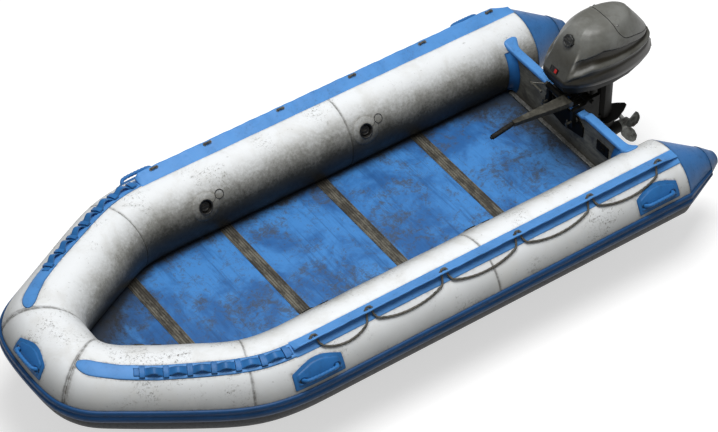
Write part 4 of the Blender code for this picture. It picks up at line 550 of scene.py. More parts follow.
LINE = middle_line()
TIP_S = float(np.interp(-CONE_TIP_Y, -LINE[2, :200], LINE[0, :200]))


def s_of(y, side=1):
    """The length on the straight side tube at which y is reached."""
    return side * (TIP_S - (CONE_TIP_Y - y))


STERN_S = s_of(STERN_Y)
FLAP_FRONT_S = s_of(-0.889)
# The stern cone's taper: lengths past the seam, and shares of the tube's radius.
TAPER = np.array([(0.0, 1.0), (0.27, 0.417), (0.36, 0.174)])


def at_length(s):
    """The middle line's centre, out direction, half width and radius at lengths s."""
    read = [np.interp(-np.asarray(s, float), -LINE[0], row) for row in LINE[1:]]
    out = unit(np.stack([read[3], read[4], 0.0 * read[3]], axis=-1))
    taper = np.interp(np.abs(s), STERN_S + TAPER[:, 0], TAPER[:, 1])
    return np.stack(read[:3], axis=-1), out, read[5] * taper, read[6] * taper


def section_at(s, out, up):
    """centre + out direction * out + Z * up, for offsets in metres."""
    s, out, up = np.broadcast_arrays(*(np.asarray(value, float) for value in (s, out, up)))
    centre, side = at_length(s)[:2]
    return centre + side * out[..., None] + np.array([0.0, 0.0, 1.0]) * up[..., None]


def on_tube(s, angle, height=0.0):
    """centre + out (half width + height) cos a + Z (radius + height) sin a."""
    s, angle, height = np.broadcast_arrays(*(np.asarray(value, float) for value in (s, angle, height)))
    wide, radius = at_length(s)[2:]
    turn = np.radians(angle)
    return section_at(s, (wide + height) * np.cos(turn), (radius + height) * np.sin(turn))


def tube_seat(s, angle, height=0.0):
    """A seat on the tube: Z out of it and X along it."""
    here, ahead = on_tube(s, angle, height), on_tube(s - 0.004, angle, height)
    return seat(here, on_tube(s, angle, height + 0.01) - here, ahead - here)


print("tube length from tip to tip:", round(2 * TIP_S, 3), "stern border at", round(STERN_S, 3))

# %% [markdown]
# Grime gathers where bonded pieces end. For each point of the tubes the distance to the
# nearest seam or bonded edge is worked out once and stored, and the finish reads it.

# %% Outlines of what is bonded to the tubes
# The bow strip's middle line: length and angle.
STRIP_TRACK = np.array([(0.20, 73.5), (0.42, 68.5), (0.62, 67.0), (0.78, 69.0), (0.92, 70.5),
                        (1.05, 71.5), (1.60, 71.5)])
STRIP_FRONT, STRIP_HALF, STRIP_END = 0.244, 11.0, 0.046
STRAKE_EDGE, FLAP_EDGES = 12.5, (83.0, 59.5)
VALVE_ANGLE, PATCH_RADIUS = 153.0, 0.085
PAD_HALF, SIDE_PAD, BOW_PAD = 0.143, (17.0, 1.0), (20.0, 0.86)
VALVES = {"bow_valve_cap": 0.520}
HANDLES = {"bow_handle": (0.0, *BOW_PAD)}
for side, label in SIDES:
    VALVES[f"{label}_fore_tube_valve_cap"] = s_of(-0.623, side)
    VALVES[f"{label}_aft_tube_valve_cap"] = s_of(0.466, side)
    HANDLES[f"{label}_fore_handle"] = (s_of(-0.804, side), *SIDE_PAD)
    HANDLES[f"{label}_aft_handle"] = (s_of(1.479, side), *SIDE_PAD)
DEGREE_OF_ARC = math.radians(1.0) * TUBE_RADIUS
FAR = 9.0


def strip_middle(s):
    """The angle of the bow strip's middle line."""
    return np.interp(np.abs(s), *STRIP_TRACK.T)


def handle_top(u):
    """The height of a handle patch over its lower edge, at a share u of its half length."""
    return 0.100 + 0.041 * np.interp(np.abs(u), [0, 0.12, 0.3, 0.62, 0.93, 1.0],
                                     [1.0, 0.99, 0.90, 0.55, 0.10, 0.0])


def handle_outline(share):
    """A handle patch's outline: metres along the tube and metres up from its lower edge."""
    u = np.linspace(-1.0, 1.0, 15)
    half = PAD_HALF * share
    return np.concatenate([[[-half, 0.0]], np.stack([u * half, handle_top(u)], axis=1), [[half, 0.0]]])


def distance_to(x, y, outline):
    """The least distance in a plane from points to a closed outline's edges."""
    least = np.full(np.shape(x), FAR)
    for (ax, ay), (bx, by) in zip(outline, np.roll(outline, -1, axis=0)):
        run_x, run_y = bx - ax, by - ay
        share = cut(((x - ax) * run_x + (y - ay) * run_y) / max(run_x ** 2 + run_y ** 2, 1e-12))
        least = np.minimum(least, np.hypot(x - ax - share * run_x, y - ay - share * run_y))
    return least


def from_valve(s, angle):
    """How far a point of the tube lies from the nearest valve's middle."""
    reaches = [np.hypot(s - middle, (angle - VALVE_ANGLE) * DEGREE_OF_ARC) for middle in VALVES.values()]
    return np.minimum.reduce(reaches)


def edge_distance(s, angle):
    """How far a point of the tube lies from the nearest seam or bonded edge, in metres."""
    along = np.abs(s)
    least = np.abs(angle - STRAKE_EDGE) * DEGREE_OF_ARC
    for seam in (NOSE_SEAM_S, SIDE_SEAM_S, s_of(MID_SEAM_Y), STERN_S):
        least = np.minimum(least, np.abs(along - seam))
    off_middle = angle - strip_middle(s)
    strip = np.abs(np.abs(off_middle) - STRIP_HALF) * DEGREE_OF_ARC
    on_strip = (along > STRIP_FRONT + 0.03) & (along < FLAP_FRONT_S)
    least = np.where(on_strip, np.minimum(least, strip), least)
    tip = np.hypot(along - STRIP_FRONT - 0.035, off_middle * DEGREE_OF_ARC) - 0.040
    tip = np.where(along < 0.3, np.abs(tip), FAR)
    least = np.where(on_strip, least, np.minimum(least, tip))
    flap = np.minimum(*(np.abs(angle - edge) for edge in FLAP_EDGES)) * DEGREE_OF_ARC
    least = np.where((along >= FLAP_FRONT_S) & (along < STERN_S), np.minimum(least, flap), least)
    for middle, low, share in HANDLES.values():
        rise = (angle - low) * DEGREE_OF_ARC
        least = np.minimum(least, distance_to(s - middle, rise, handle_outline(share)))
    return np.minimum(least, np.abs(from_valve(s, angle) - PATCH_RADIUS))


# %% [markdown]
# The tubes are coated fabric, once white. Dirt and painted shade make the look: fine black scuffs
# in patches, brown grime along every edge, a grey painted shade over the outer side that grows
# downwards, and a deep darkening where the inner side meets the floor, which is stain and painted
# shade together. Each is a mask, and the colours are laid over one another by the masks.

# %% Finishes of the coated fabric
LENGTHWISE = (1.0, 0.35, 1.0)


def fabric_bump(finish):
    """A fine woven grain over broad, shallow creases."""
    folds = finish.noise(14.0, 3.0, 0.5, (1.0, 0.4, 1.0))
    finish.bump(finish.noise(900.0, 2.0, 0.5) * 0.2 + folds, 0.0006)


def soiled_white():
    """White fabric under painted shade on its outer side, scuffs, grime at its edges, and stain with painted
    shade, in that order.
    """
    finish = Finish("white_fabric", specular=0.25)
    # The outer side's grey is painted shade, deepest at the waist.
    side_shaded = finish.number("dust") * (finish.noise(9.0, 4.0, 0.6) * 0.3 + 0.70)
    patches = finish.noise(3.4, 5.0, 0.62).ramp(0.50, 0.63)
    specks = finish.noise(75.0, 6.0, 0.78, twist=0.8).ramp(0.545, 0.61)
    smears = finish.noise(24.0, 6.0, 0.75, LENGTHWISE, 0.6).ramp(0.54, 0.66)
    flecks = finish.noise(48.0, 2.0, 0.5).ramp(0.70, 0.74)
    scuffs = patches * specks * 0.80 + patches * smears * 0.42 + flecks * 0.22
    grime = finish.number("edge") * (finish.noise(30.0, 5.0, 0.75).ramp(0.34, 0.62) * 0.80 + 0.20)
    cloud = finish.noise(6.0, 5.0, 0.66, twist=0.4)
    # This number holds stain and painted shade: the inner side darkens towards the floor, and a film of
    # painted shade lies over the outer side.
    stain = finish.number("stain")
    broken = (cloud - 0.5) * 0.34 + (finish.noise(55.0, 5.0, 0.75) - 0.5) * 0.40
    stained_and_shaded = stain + broken * stain.ramp(0.0, 0.5)
    colour = finish.coats(
        (238, 241, 243), ((146, 147, 142), side_shaded * 0.80), ((212, 211, 206), cloud.ramp(0.44, 0.70) * 0.40),
        ((92, 88, 79), scuffs), ((84, 77, 66), grime), ((132, 131, 124), stained_and_shaded.ramp(0.0, 0.62) * 0.92),
        ((42, 39, 29), stained_and_shaded.ramp(0.40, 0.92) * 0.96), ((20, 16, 7), stained_and_shaded.ramp(0.86, 1.20) * 0.85))
    finish.set("Base Color", colour)
    finish.set("Roughness", finish.noise(30.0, 3.0) * 0.3 + 0.30)
    fabric_bump(finish)
    return finish


def worn_blue(name, colour, dark, amount, roughness=0.38):
    """Blue coated fabric or rubber, uneven in tone, darker towards the bottom as painted shade, with dull dirt
    in its corners and painted shade in the handles' sockets.
    """
    finish = Finish(name, specular=0.2)
    broad = finish.noise(7.0, 4.0, 0.6).ramp(0.35, 0.75)
    fine = finish.noise(60.0, 4.0, 0.7).ramp(0.50, 0.72)
    # Painted shade: the darker colour is laid on more the lower the point lies.
    low = (finish.height() + (broad - 0.5) * 0.06).ramp(0.44, 0.16)
    edges = finish.number("edge") * (finish.noise(45.0, 4.0, 0.7).ramp(0.3, 0.6) * 0.7 + 0.3)
    finish.set("Base Color", finish.coats(colour, (dark, (broad * 0.35).most(low)),
                                          ((64, 70, 76), fine * broad * amount),
                                          ((26, 34, 44), edges * 0.8)))
    finish.set("Roughness", fine * 0.25 + roughness)
    fabric_bump(finish)
    return finish


white_fabric = soiled_white()
# Each finish's second colour is both its darker tone and its painted shade towards the bottom.
blue_fabric = worn_blue("blue_fabric", (52, 118, 184), (20, 60, 98), 0.35)
flap_fabric = worn_blue("flap_fabric", (88, 150, 216), (58, 112, 172), 0.4)
strake_rubber = worn_blue("strake_rubber", (34, 84, 138), (18, 50, 82), 0.6)
black_rubber = worn_blue("black_rubber", (26, 26, 27), (18, 18, 19), 0.2, 0.5)
print("fabric finishes: 5")

# %% [markdown]
# Each length of tube is one grid: rows along it and columns round it. It is drawn in a little
# at its ends, so that two lengths meet in a fine groove, as bonded overlaps do. Under each
# valve the skin dips, and a round patch with the valve's housing covers the dip's rim.

# %% The side tubes
COLUMNS = 120
ROUND = np.linspace(0.0, 360.0, COLUMNS, endpoint=False)[None, :]
# How strong the inner stain and painted shade are along the tube: lengths, and shares.
SHADE_AND_STAIN_LENGTHS = np.array([(0.0, 0.40), (0.4, 0.62), (0.9, 0.92), (1.4, 1.0), (2.6, 0.96), (3.9, 0.88)])


def signed(angle):
    """The angle once round from 0, and the same with the lower half below 0."""
    around = angle % 360.0
    return around, np.where(around > 180.0, around - 360.0, around)


def stain_and_shade_at(s, angle):
    """How stained and shaded a side is: nothing on top, deepest just above the floor, where stain
    and painted shade lie together, and a film of painted shade over the outer side that grows downwards."""
    inner = np.clip((angle - 92.0) / 84.0, 0.0, 1.25) ** 1.2 * np.interp(np.abs(s), *SHADE_AND_STAIN_LENGTHS.T)
    around, below = signed(angle)
    outer = cut((30.0 - below) / 95.0) * 0.55
    return np.where((around < 58.0) | (around > 275.0), outer, inner)


def side_shade_at(angle):
    """How much painted shade greys the outer side: nothing above the flap, most at the waist."""
    around, below = signed(angle)
    return np.where((around < 66.0) | (around > 275.0), cut((66.0 - below) / 60.0), 0.0)


def tube_piece(name, start, end):
    """A length of tube: the round section, drawn in at its two ends and at the valves."""
    s = np.linspace(start, end, int(abs(end - start) / 0.010) + 2)
    shrink = np.array([0.0035, 0.0012, 0.0])
    s = np.concatenate([[start], start - shrink, s[1:-1], end + shrink[::-1], [end]])[:, None]
    s, angle = np.broadcast_arrays(s, ROUND)
    close = np.minimum(np.abs(s - start), np.abs(s - end))
    waves = 0.0008 * np.sin(s * 17.0 + np.radians(angle) * 3.0) * cut(close / 0.05)
    height = waves - 0.0022 * bell(close, 0.0022)
    height[0], height[-1] = -0.012, -0.012
    height = height - 0.036 * cut((0.064 - from_valve(s, angle)) / 0.014)
    edge = np.exp(-(edge_distance(s, angle) / 0.0040) ** 0.85)
    # Stored numbers: grime at the edges, stain with painted shade, and the outer side's painted shade.
    numbers = {"edge": edge, "stain": stain_and_shade_at(s, angle), "dust": side_shade_at(angle)}
    mesh = sheet_mesh(on_tube(s, angle, height), numbers=numbers)
    piece(f"{name}_skin", mesh, white_fabric, 0, stands_for=name)


tube_piece("bow_tube", NOSE_SEAM_S, -NOSE_SEAM_S)
stops = [NOSE_SEAM_S, SIDE_SEAM_S, s_of(MID_SEAM_Y), STERN_S]
for side, label in SIDES:
    for part, low, high in zip(("bow_side_tube", "fore_tube", "aft_tube"), stops, stops[1:]):
        tube_piece(f"{label}_{part}", *sorted((side * low, side * high), reverse=True))
print("tube lengths: 7")

# %% [markdown]
# Each stern cone is blue fabric that tapers to a moulded rubber end. The end overlaps the cone
# in a low step, and its face is domed.

# %% The stern cones
CONE_STEP, STEP_HEIGHT = 0.266, 0.0038
DOME = ((0.003, 0.97), (0.0065, 0.88), (0.010, 0.70), (0.0125, 0.42), (0.0135, 0.15))
reach = np.array([0.0, 0.0005, 0.003, *np.linspace(0.01, 0.262, 26), CONE_STEP, 0.268, 0.272, 0.30,
                  0.33, 0.356])
lift = np.where(reach > CONE_STEP, STEP_HEIGHT, 0.0)
lift[:2] = (-0.010, -0.002)
edge = np.exp(-np.minimum(np.abs(reach - CONE_STEP - 0.001), reach) / 0.006)
edge = np.concatenate([edge, np.full(len(DOME), 0.1)])[:, None]
for side, label in SIDES:
    body = on_tube(side * (STERN_S + reach[:, None]), ROUND, lift[:, None])
    tip = body[-1].mean(axis=0)
    dome = [tip + [0.0, grow, 0.0] + (body[-1] - tip) * share for grow, share in DOME]
    mesh = sheet_mesh(np.concatenate([body, np.array(dome)]), numbers={"edge": edge})
    piece(f"{label}_cone_skin", mesh, blue_fabric, 50, stands_for=f"{label}_cone")
print("cones: 2, each", round(float(reach[-1] + DOME[-1][0]), 3), "m long")

# %% [markdown]
# The rub strake is an extruded rubber profile with two rounded ribs, and a thin black chafer
# runs from it down to the bottom skin. Its section is a table of angle and height, smoothed.

# %% The rub strakes and chafers
RIBS = [(12.8, 0.0006), (12.3, 0.0085), (10.8, 0.0145), (7.2, 0.0150), (5.6, 0.0100), (3.4, 0.0100),
        (1.4, 0.0175), (-3.6, 0.0175), (-5.2, 0.0105), (-8.2, 0.0085), (-9.0, 0.0040), (-9.6, 0.0006)]
STRAKE_REAR = s_of(CONE_SEAM_Y) - 0.008
METRES_TO_DEGREES = np.array([1.0, 250.0])


def bonded_band(start, end, profile):
    """A band carried along the tube: a closed profile of angle and height at every length."""
    s = np.linspace(start, end, int(abs(end - start) / 0.012) + 2)[:, None]
    profile = np.asarray(profile)
    edge = np.exp(-np.clip(profile[:, 1] - 0.001, 0.0, None) / 0.003)[None, :]
    return sheet_mesh(on_tube(s, profile[None, :, 0], profile[None, :, 1]), numbers={"edge": edge})


ribs = rounded(np.array(RIBS) * METRES_TO_DEGREES, 1.1) / METRES_TO_DEGREES
strake = np.concatenate([ribs, [(angle, -0.001) for angle in (-8.0, 0.0, 8.0, 12.0)]])
chafer = [(angle, 0.0034) for angle in np.linspace(-9.0, -61.0, 14)]
chafer += [(angle, -0.001) for angle in np.linspace(-61.0, -9.0, 14)]
for side, label in SIDES:
    ends = (side * STRAKE_REAR, 0.0)
    piece(f"{label}_strake", bonded_band(*ends, strake), strake_rubber, 60,
          stands_for=f"{label}_rub_strake")
    piece(f"{label}_chafer", bonded_band(*ends, chafer), black_rubber, 60)
print("strakes: 2, each", round(STRAKE_REAR, 3), "m from the nose")

# %% [markdown]
# The bottom skin is bonded under both tubes and drawn down to the keel between them, where the
# inflated keel rounds it. It is one closed sheet: the outer layer and, just above it, the inner.

# %% The bottom skin
KEEL_DEPTH, SKIN_HOLLOW, SKIN_THICK = 0.085, 0.006, 0.0035
s = np.linspace(s_of(1.5675), 0.004, 330)[:, None]
bond = on_tube(s, np.linspace(-61.0, -120.0, 16)[None, :], 0.0048)
last = bond[:, -1]
share = np.linspace(0.0, 1.0, 26)[None, 1:, None]
keel_z = last[:, 2] - KEEL_DEPTH * cut(at_length(s[:, 0])[0][:, 0] / HALF_BEAM)
keel_line = np.stack([0.0 * keel_z, last[:, 1], np.maximum(keel_z, 0.0005)], axis=-1)
panel = last[:, None] * (1.0 - share) + keel_line[:, None] * share
panel[..., 2] += SKIN_HOLLOW * np.sin(np.pi * share[..., 0]) * cut(last[:, :1] / 0.3)
port_half = np.concatenate([bond, panel], axis=1)
outer = np.concatenate([port_half, port_half[:, -2::-1] * [-1.0, 1.0, 1.0]], axis=1)
both = np.concatenate([outer, outer[:, ::-1] + [0.0, 0.0, SKIN_THICK]], axis=1)
piece("bottom_skin_sheet", sheet_mesh(both), black_rubber, 60, stands_for="bottom_skin")
print("bottom skin points:", both[..., 0].size)

# %% [markdown]
# The lifeline flap is a blue strip bonded along the tube whose upper edge stands up as a hemmed
# lip. Its section is drawn in metres out and up from the tube's middle, and at both ends the lip
# sinks back on to the tube.

# %% The lifeline flaps
EYELET_YS = (-0.772, -0.425, 0.074, 0.571, 1.070, 1.554)
LIP_TIP = np.array([0.102, 0.263])
FLAP_REAR_S = STERN_S - 0.001


def polar(angle, height):
    """A point of the section at an angle and a height over the tube."""
    turn = math.radians(angle)
    return np.array([math.cos(turn), math.sin(turn)]) * (TUBE_RADIUS + height)


def flap_section(lift):
    """The closed section at a share of the lip's full lift."""
    low_tip, under = polar(68.8, 0.006), polar(68.0, 0.004)
    tip = low_tip + (LIP_TIP - low_tip) * lift
    under = under + (LIP_TIP + [0.0035, -0.0065] - under) * lift
    rest = [(71.5, 0.0030 + 0.006 * lift), (65.0, 0.0042), (61.0, 0.0036), (59.6, 0.0024),
            (59.2, -0.001), (66.0, -0.001), (74.0, -0.001), (81.0, -0.001)]
    points = [polar(84.5, 0.0004), polar(82.5, 0.0026), tip + [-0.004, 0.0012], tip + [0.002, 0.0004],
              under, *(polar(*place) for place in rest)]
    return ring_profile(points, 0.0035)


s = np.concatenate([FLAP_FRONT_S + np.array([0.0, 0.004, 0.009, 0.015, 0.022, 0.03]),
                    np.arange(FLAP_FRONT_S + 0.045, FLAP_REAR_S - 0.13, 0.015),
                    np.linspace(FLAP_REAR_S - 0.12, FLAP_REAR_S, 20)])
lift_places = [FLAP_FRONT_S, FLAP_FRONT_S + 0.022, *(FLAP_REAR_S - back_off for back_off in (0.12, 0.03, 0.0))]
lift = np.interp(s, lift_places, [0.45, 1.0, 1.0, 0.30, 0.16])
wave = (0.0012 * np.sin(s * 31.0) + 0.0009 * np.sin(s * 73.0 + 1.0)) * lift
rings = np.array([flap_section(amount) for amount in lift])
out, up = rings[..., 0], rings[..., 1]
up_waved = up + wave[:, None] * cut((np.hypot(out, up) - 0.245) / 0.03)
rim = np.exp(-np.abs(np.degrees(np.arctan2(up, out)) - 59.4) / 0.9) * 0.6
for side, label in SIDES:
    mesh = sheet_mesh(section_at(side * s[:, None], out, up_waved), numbers={"edge": rim})
    piece(f"{label}_flap", mesh, flap_fabric, 60, stands_for=f"{label}_lifeline_flap")
print("flap length:", round(FLAP_REAR_S - FLAP_FRONT_S, 3))

# %% [markdown]
# The grab rope is laid cord. It comes up through one eyelet and goes down through the next, and
# between the holds it hangs in shallow swags that rest on the tube.

# %% The lifelines and their eyelets
laid_rope = Finish("laid_rope", 0.85)
strand = laid_rope.noise(260.0, 3.0, 0.7)
soil = laid_rope.noise(30.0, 3.0, 0.6).ramp(0.35, 0.7)
laid_rope.set("Base Color", laid_rope.coats((120, 118, 110), ((66, 63, 56), strand.ramp(0.35, 0.65)),
                                            ((40, 37, 32), soil * 0.6)))
laid_rope.bump(strand, 0.0008)
eyelet_metal = Finish("eyelet_metal", metallic=0.9)
eyelet_metal.set("Base Color", srgb(120, 122, 124))
eyelet_metal.set("Roughness", eyelet_metal.noise(80.0) * 0.3 + 0.25)

ROPE_RADIUS, EYELET_HALF_GAP = 0.006, 0.018
LIP_RUN = unit(LIP_TIP - polar(82.0, 0.003))
LIP_OUT = np.array([-LIP_RUN[1], LIP_RUN[0]])
EYELET = LIP_TIP - LIP_RUN * 0.017


def lip_point(y, side, out):
    """A point over an eyelet, out metres along the lip's own upright."""
    return section_at(s_of(y, side), *(EYELET + LIP_OUT * out))


def rope_points(side):
    """The rope's points: through each pair of eyelets, then along a sagging swag."""
    points, last = [], len(EYELET_YS) - 1
    for k, y in enumerate(EYELET_YS):
        for way in (-1, 1):
            at = y + way * EYELET_HALF_GAP
            half = [on_tube(s_of(at + way * 0.018, side), 59.0, 0.0130),
                    on_tube(s_of(at + way * 0.006, side), 64.0, 0.0155),
                    lip_point(at, side, -0.0132), lip_point(at, side, 0.003),
                    lip_point(at - way * 0.0036, side, 0.0109)]
            half = half[2:] if (k, way) in ((0, -1), (last, 1)) else half
            points += half if way < 0 else half[::-1]
        if k < last:
            start, end = y + 0.036, EYELET_YS[k + 1] - 0.036
            share = np.linspace(0.08, 0.92, 9)
            drop = (1.0 - (2.0 * share - 1.0) ** 2) ** 0.85
            swag = s_of(start + (end - start) * share, side)
            points += list(on_tube(swag, 59.0 - 10.0 * drop, 0.013 - 0.0064 * drop))
    return points


for side, label in SIDES:
    route = smooth_route(rope_points(side), 0.0032)
    rope = sheet_mesh(rope_grid(route, ROPE_RADIUS * 1.06, 12, strands=3, lay=70.0))
    piece(f"{label}_rope", rope, laid_rope, 0, stands_for=f"{label}_lifeline")
    rings = []
    for y in (y + way * EYELET_HALF_GAP for y in EYELET_YS for way in (-1, 1)):
        at = lip_point(y, side, 0.0052)
        where = seat(at, lip_point(y, side, 0.02) - at, (0.0, 1.0, 0.0))
        rings.append(sheet_mesh(set_in(torus_grid(0.0086, 0.0019, 20), where), round_rows=True))
    piece(f"{label}_eyelets", joined(*rings), eyelet_metal, 0)
print("rope on each side:", round(float(arc_length(route)[-1]), 2), "m")

# %% [markdown]
# Along each bow side a blue strip carries a strap through seven belt loops. The strip follows a
# curved track over the tube; strap and loops lie on it, each a low arch with rounded edges.

# %% The bow strips
LOOP_LAST, LOOP_PITCH, LOOPS = 1.275, 0.123, 7
LOOP_FIRST = LOOP_LAST - (LOOPS - 1) * LOOP_PITCH
LOOP_REACH = np.array([0.0, 0.004, 0.009, 0.013, 0.0146, 0.0150])
LOOP_HALF, STRAP_ARCH = 8.6, 0.024


def rim_rise(rim, width):
    """How far a rounded edge has risen: 0 at the rim, 1 a width inside it, round between."""
    return np.sqrt(cut(1.0 - (1.0 - cut(rim / width)) ** 2))


def both_faces(upper, lower, dirt):
    """A closed patch from its upper and lower grids, with its dark mask stored on both: dirt, and on
    the handles also painted shade in the sockets.
    """
    numbers = {"edge": np.concatenate([dirt, dirt[:, ::-1]], axis=1)}
    return sheet_mesh(np.concatenate([upper, lower[:, ::-1]], axis=1), numbers=numbers)


def low_patch(s, half, thick, base=0.0012, steps=17, crown=0.0, under=-0.001):
    """A bonded patch along the strip's track: at each length a flat arch of its half angle,
    closed below.

    height = base + thick * (edge rounding) + crown * (1 - v squared), v across from -1 to 1."""
    v = np.linspace(-1.0, 1.0, steps)[None, :]
    half = np.asarray(half, float)[:, None] * np.ones_like(v)
    ends = np.minimum(np.arange(len(s)), np.arange(len(s))[::-1])
    rim = np.minimum((1.0 - np.abs(v)) * half * DEGREE_OF_ARC,
                     np.where(ends < 2, 0.0006 * ends, FAR)[:, None])
    top = base + thick * rim_rise(rim, 0.0022) + crown * (1.0 - v ** 2)
    angle = strip_middle(s)[:, None] + v * half
    return both_faces(on_tube(s[:, None], angle, top), on_tube(s[:, None], angle, under), np.exp(-rim / 0.004))


strip_rear = FLAP_FRONT_S + 0.004
round_end = STRIP_FRONT - 0.006 + STRIP_END * (1.0 - np.cos(np.linspace(0.06, 0.5 * np.pi, 12)))
strip_s = np.concatenate([round_end, np.arange(round_end[-1] + 0.01, strip_rear - 0.003, 0.01),
                          [strip_rear - 0.001, strip_rear]])
strip_half = STRIP_HALF * rim_rise(strip_s - round_end[0] + 0.0002, STRIP_END)
front = LOOP_FIRST - 0.045
strap_s = np.concatenate([[front, front + 0.0006], np.arange(front + 0.005, LOOP_LAST + 0.026, 0.005),
                          [LOOP_LAST + 0.0294, LOOP_LAST + 0.03]])
between = ((strap_s - LOOP_LAST) / LOOP_PITCH) % 1.0
arch = np.sin(np.pi * cut((between - 0.13) / 0.74)) ** 1.3 * (strap_s > LOOP_FIRST) * (strap_s < LOOP_LAST)
stand = (0.0038 + STRAP_ARCH * arch)[:, None]
loop_s = np.concatenate([-LOOP_REACH[:0:-1], LOOP_REACH])
for side, label in SIDES:
    strip = low_patch(side * strip_s, np.maximum(strip_half, 0.8), 0.0022, steps=25)
    piece(f"{label}_strip", strip, flap_fabric, 60, stands_for=f"{label}_bow_strip")
    strap = low_patch(side * strap_s, 6.2 - 1.4 * arch, 0.0030, stand, 13, under=stand - 0.0004)
    piece(f"{label}_strap", strap, blue_fabric, 60)
    loops = [low_patch(side * (LOOP_LAST - k * LOOP_PITCH + loop_s), np.full(len(loop_s), LOOP_HALF), 0.0120,
                       0.0028, 25, 0.0025) for k in range(LOOPS)]
    piece(f"{label}_belt_loops", joined(*loops), blue_fabric, 60)
print("belt loops on each bow side:", LOOPS)

# %% [markdown]
# A lifting handle is one rubber moulding: a patch with a domed upper edge, a raised field with
# two dark sockets, and a bail of round section that stands off it for the fingers.

# %% The handles
SOCKET_REACH, SOCKET_RISE, BAIL_HALF = 0.098, 0.046, 0.092
# The bail's middle line: shares of its half length, and heights over the tube.
BAIL = np.array([(0.0, 0.0364), (0.40, 0.0360), (0.72, 0.0345), (0.90, 0.0305), (0.98, 0.022),
                 (1.03, 0.011), (1.06, 0.0)])
BAIL = np.concatenate([(BAIL * [-1.0, 1.0])[:0:-1], BAIL])


def handle_pad(s_middle, low, share):
    """The patch: u along its half length, v from its lower to its upper edge. The height is a
    rounded rim, plus a step up to the raised field 24 mm inside it."""
    half = PAD_HALF * share
    u = np.concatenate([[-1.0, -0.996, -0.985], np.linspace(-0.96, 0.96, 57), [0.985, 0.996, 1.0]])[:, None]
    v = np.concatenate([[0.0, 0.006, 0.02], np.linspace(0.05, 0.95, 27), [0.98, 0.994, 1.0]])[None, :]
    rise = handle_top(u) * v
    corner = 0.012 * (1.0 - np.sqrt(cut(1.0 - (np.abs(v - 0.5) * 2.0) ** 12)))
    along = u * half * (1.0 - corner / half * np.abs(u))
    rim = distance_to(along, rise, handle_outline(share))
    step = cut((rim - 0.0215) / 0.005)
    sockets = np.minimum(*(np.hypot((along + way * SOCKET_REACH * share) / 1.5, rise - SOCKET_RISE)
                           for way in (-1, 1)))
    top = (0.0012 + 0.0030 * rim_rise(rim, 0.0035) + 0.0058 * step * step * (3.0 - 2.0 * step)
           - 0.0062 * cut((0.0150 - sockets) / 0.004))
    s, angle = s_middle - along, low + rise / DEGREE_OF_ARC
    dirt = np.exp(-rim / 0.003) * 0.8 + np.exp(-np.abs(rim - 0.022) / 0.0022) * 0.7
    # The sockets are painted dark as shade, over the grime at the rim and at the step.
    dirt = np.clip(dirt + cut((0.0165 - sockets) / 0.004) * 1.3, 0.0, 1.25)
    return both_faces(on_tube(s, angle, top), on_tube(s, angle, -0.001), dirt)


for name, (s_middle, low, share) in HANDLES.items():
    middle = low + SOCKET_RISE / DEGREE_OF_ARC
    route = smooth_route(on_tube(s_middle - BAIL[:, 0] * BAIL_HALF * share, middle, BAIL[:, 1]), 0.004)
    reach = np.linspace(-1.0, 1.0, len(route))
    fingers = 0.0012 * np.cos(reach * np.pi * 11.0) * (np.abs(reach) < 0.62)
    girth = 0.0104 + fingers + 0.003 * np.abs(reach) ** 6
    upright = unit(on_tube(s_middle, middle, 0.1) - on_tube(s_middle, middle, 0.0))
    bail = sheet_mesh(rope_grid(route, girth, 16, up=upright))
    moulding = joined(handle_pad(s_middle, low, share), bail)
    piece(f"{name}_moulding", moulding, blue_fabric, 60, stands_for=name)
print("handles:", len(HANDLES))

# %% [markdown]
# Each valve sits in a round patch: a black housing sunk in the tube, a screwed cap with a grip
# bar, and a thin ring on a short cord that keeps the cap from getting lost.

# %% The valves
valve_black = two_tone("valve_black", (22, 22, 22), (58, 55, 50), (60.0, 4.0), (0.45, 0.75))
valve_black.set("Roughness", valve_black.noise(120.0) * 0.3 + 0.35)
# The patch's, the housing's and the cap's profiles: radius and height over the tube.
PATCH = np.array([(0.0855, -0.0010), (0.0850, 0.0012), (0.0835, 0.0022), (0.070, 0.0025), (0.055, 0.0027),
                  (0.0440, 0.0029), (0.0415, 0.0026), (0.0400, 0.0012), (0.0395, -0.0050), (0.0600, -0.0050)])
HOUSING = [(0.0, -0.0290), (0.039, -0.0290), (0.0405, -0.0280), (0.0405, 0.0030), (0.0440, 0.0036),
           (0.0448, 0.0048), (0.0435, 0.0058), (0.0390, 0.0052), (0.0368, 0.0030), (0.0355, -0.0230),
           (0.0335, -0.0248), (0.0, -0.0248)]
CAP = [(0.0, 0.0), (0.0290, 0.0), (0.0300, 0.0012), (0.0300, 0.0115), (0.0285, 0.0135), (0.0225, 0.0140),
       (0.0205, 0.0118), (0.0, 0.0112)]
BAR_LAYERS = ((0.0105, 1.0), (0.0185, 0.96), (0.0205, 0.90), (0.0212, 0.80))
CAP_DEPTH, LEASH_RING, LEASH_REACH = -0.0237, 0.026, 0.098


def valve_patch(s_middle):
    """The round fabric patch: radius and height pairs laid over the tube's curve."""
    radius, height = (column[:, None] for column in PATCH.T)
    turn = turns(64)[None, :]
    s = s_middle + radius * np.cos(turn)
    angle = VALVE_ANGLE + radius * np.sin(turn) / DEGREE_OF_ARC
    rim = np.minimum(np.abs(radius - PATCH_RADIUS), np.abs(radius - 0.042))
    # The patch takes the tube's stain and painted shade.
    numbers = {"edge": np.exp(-rim / 0.0035), "stain": stain_and_shade_at(s, angle) * 0.93}
    return sheet_mesh(on_tube(s, angle, height), numbers=numbers, round_rows=True)


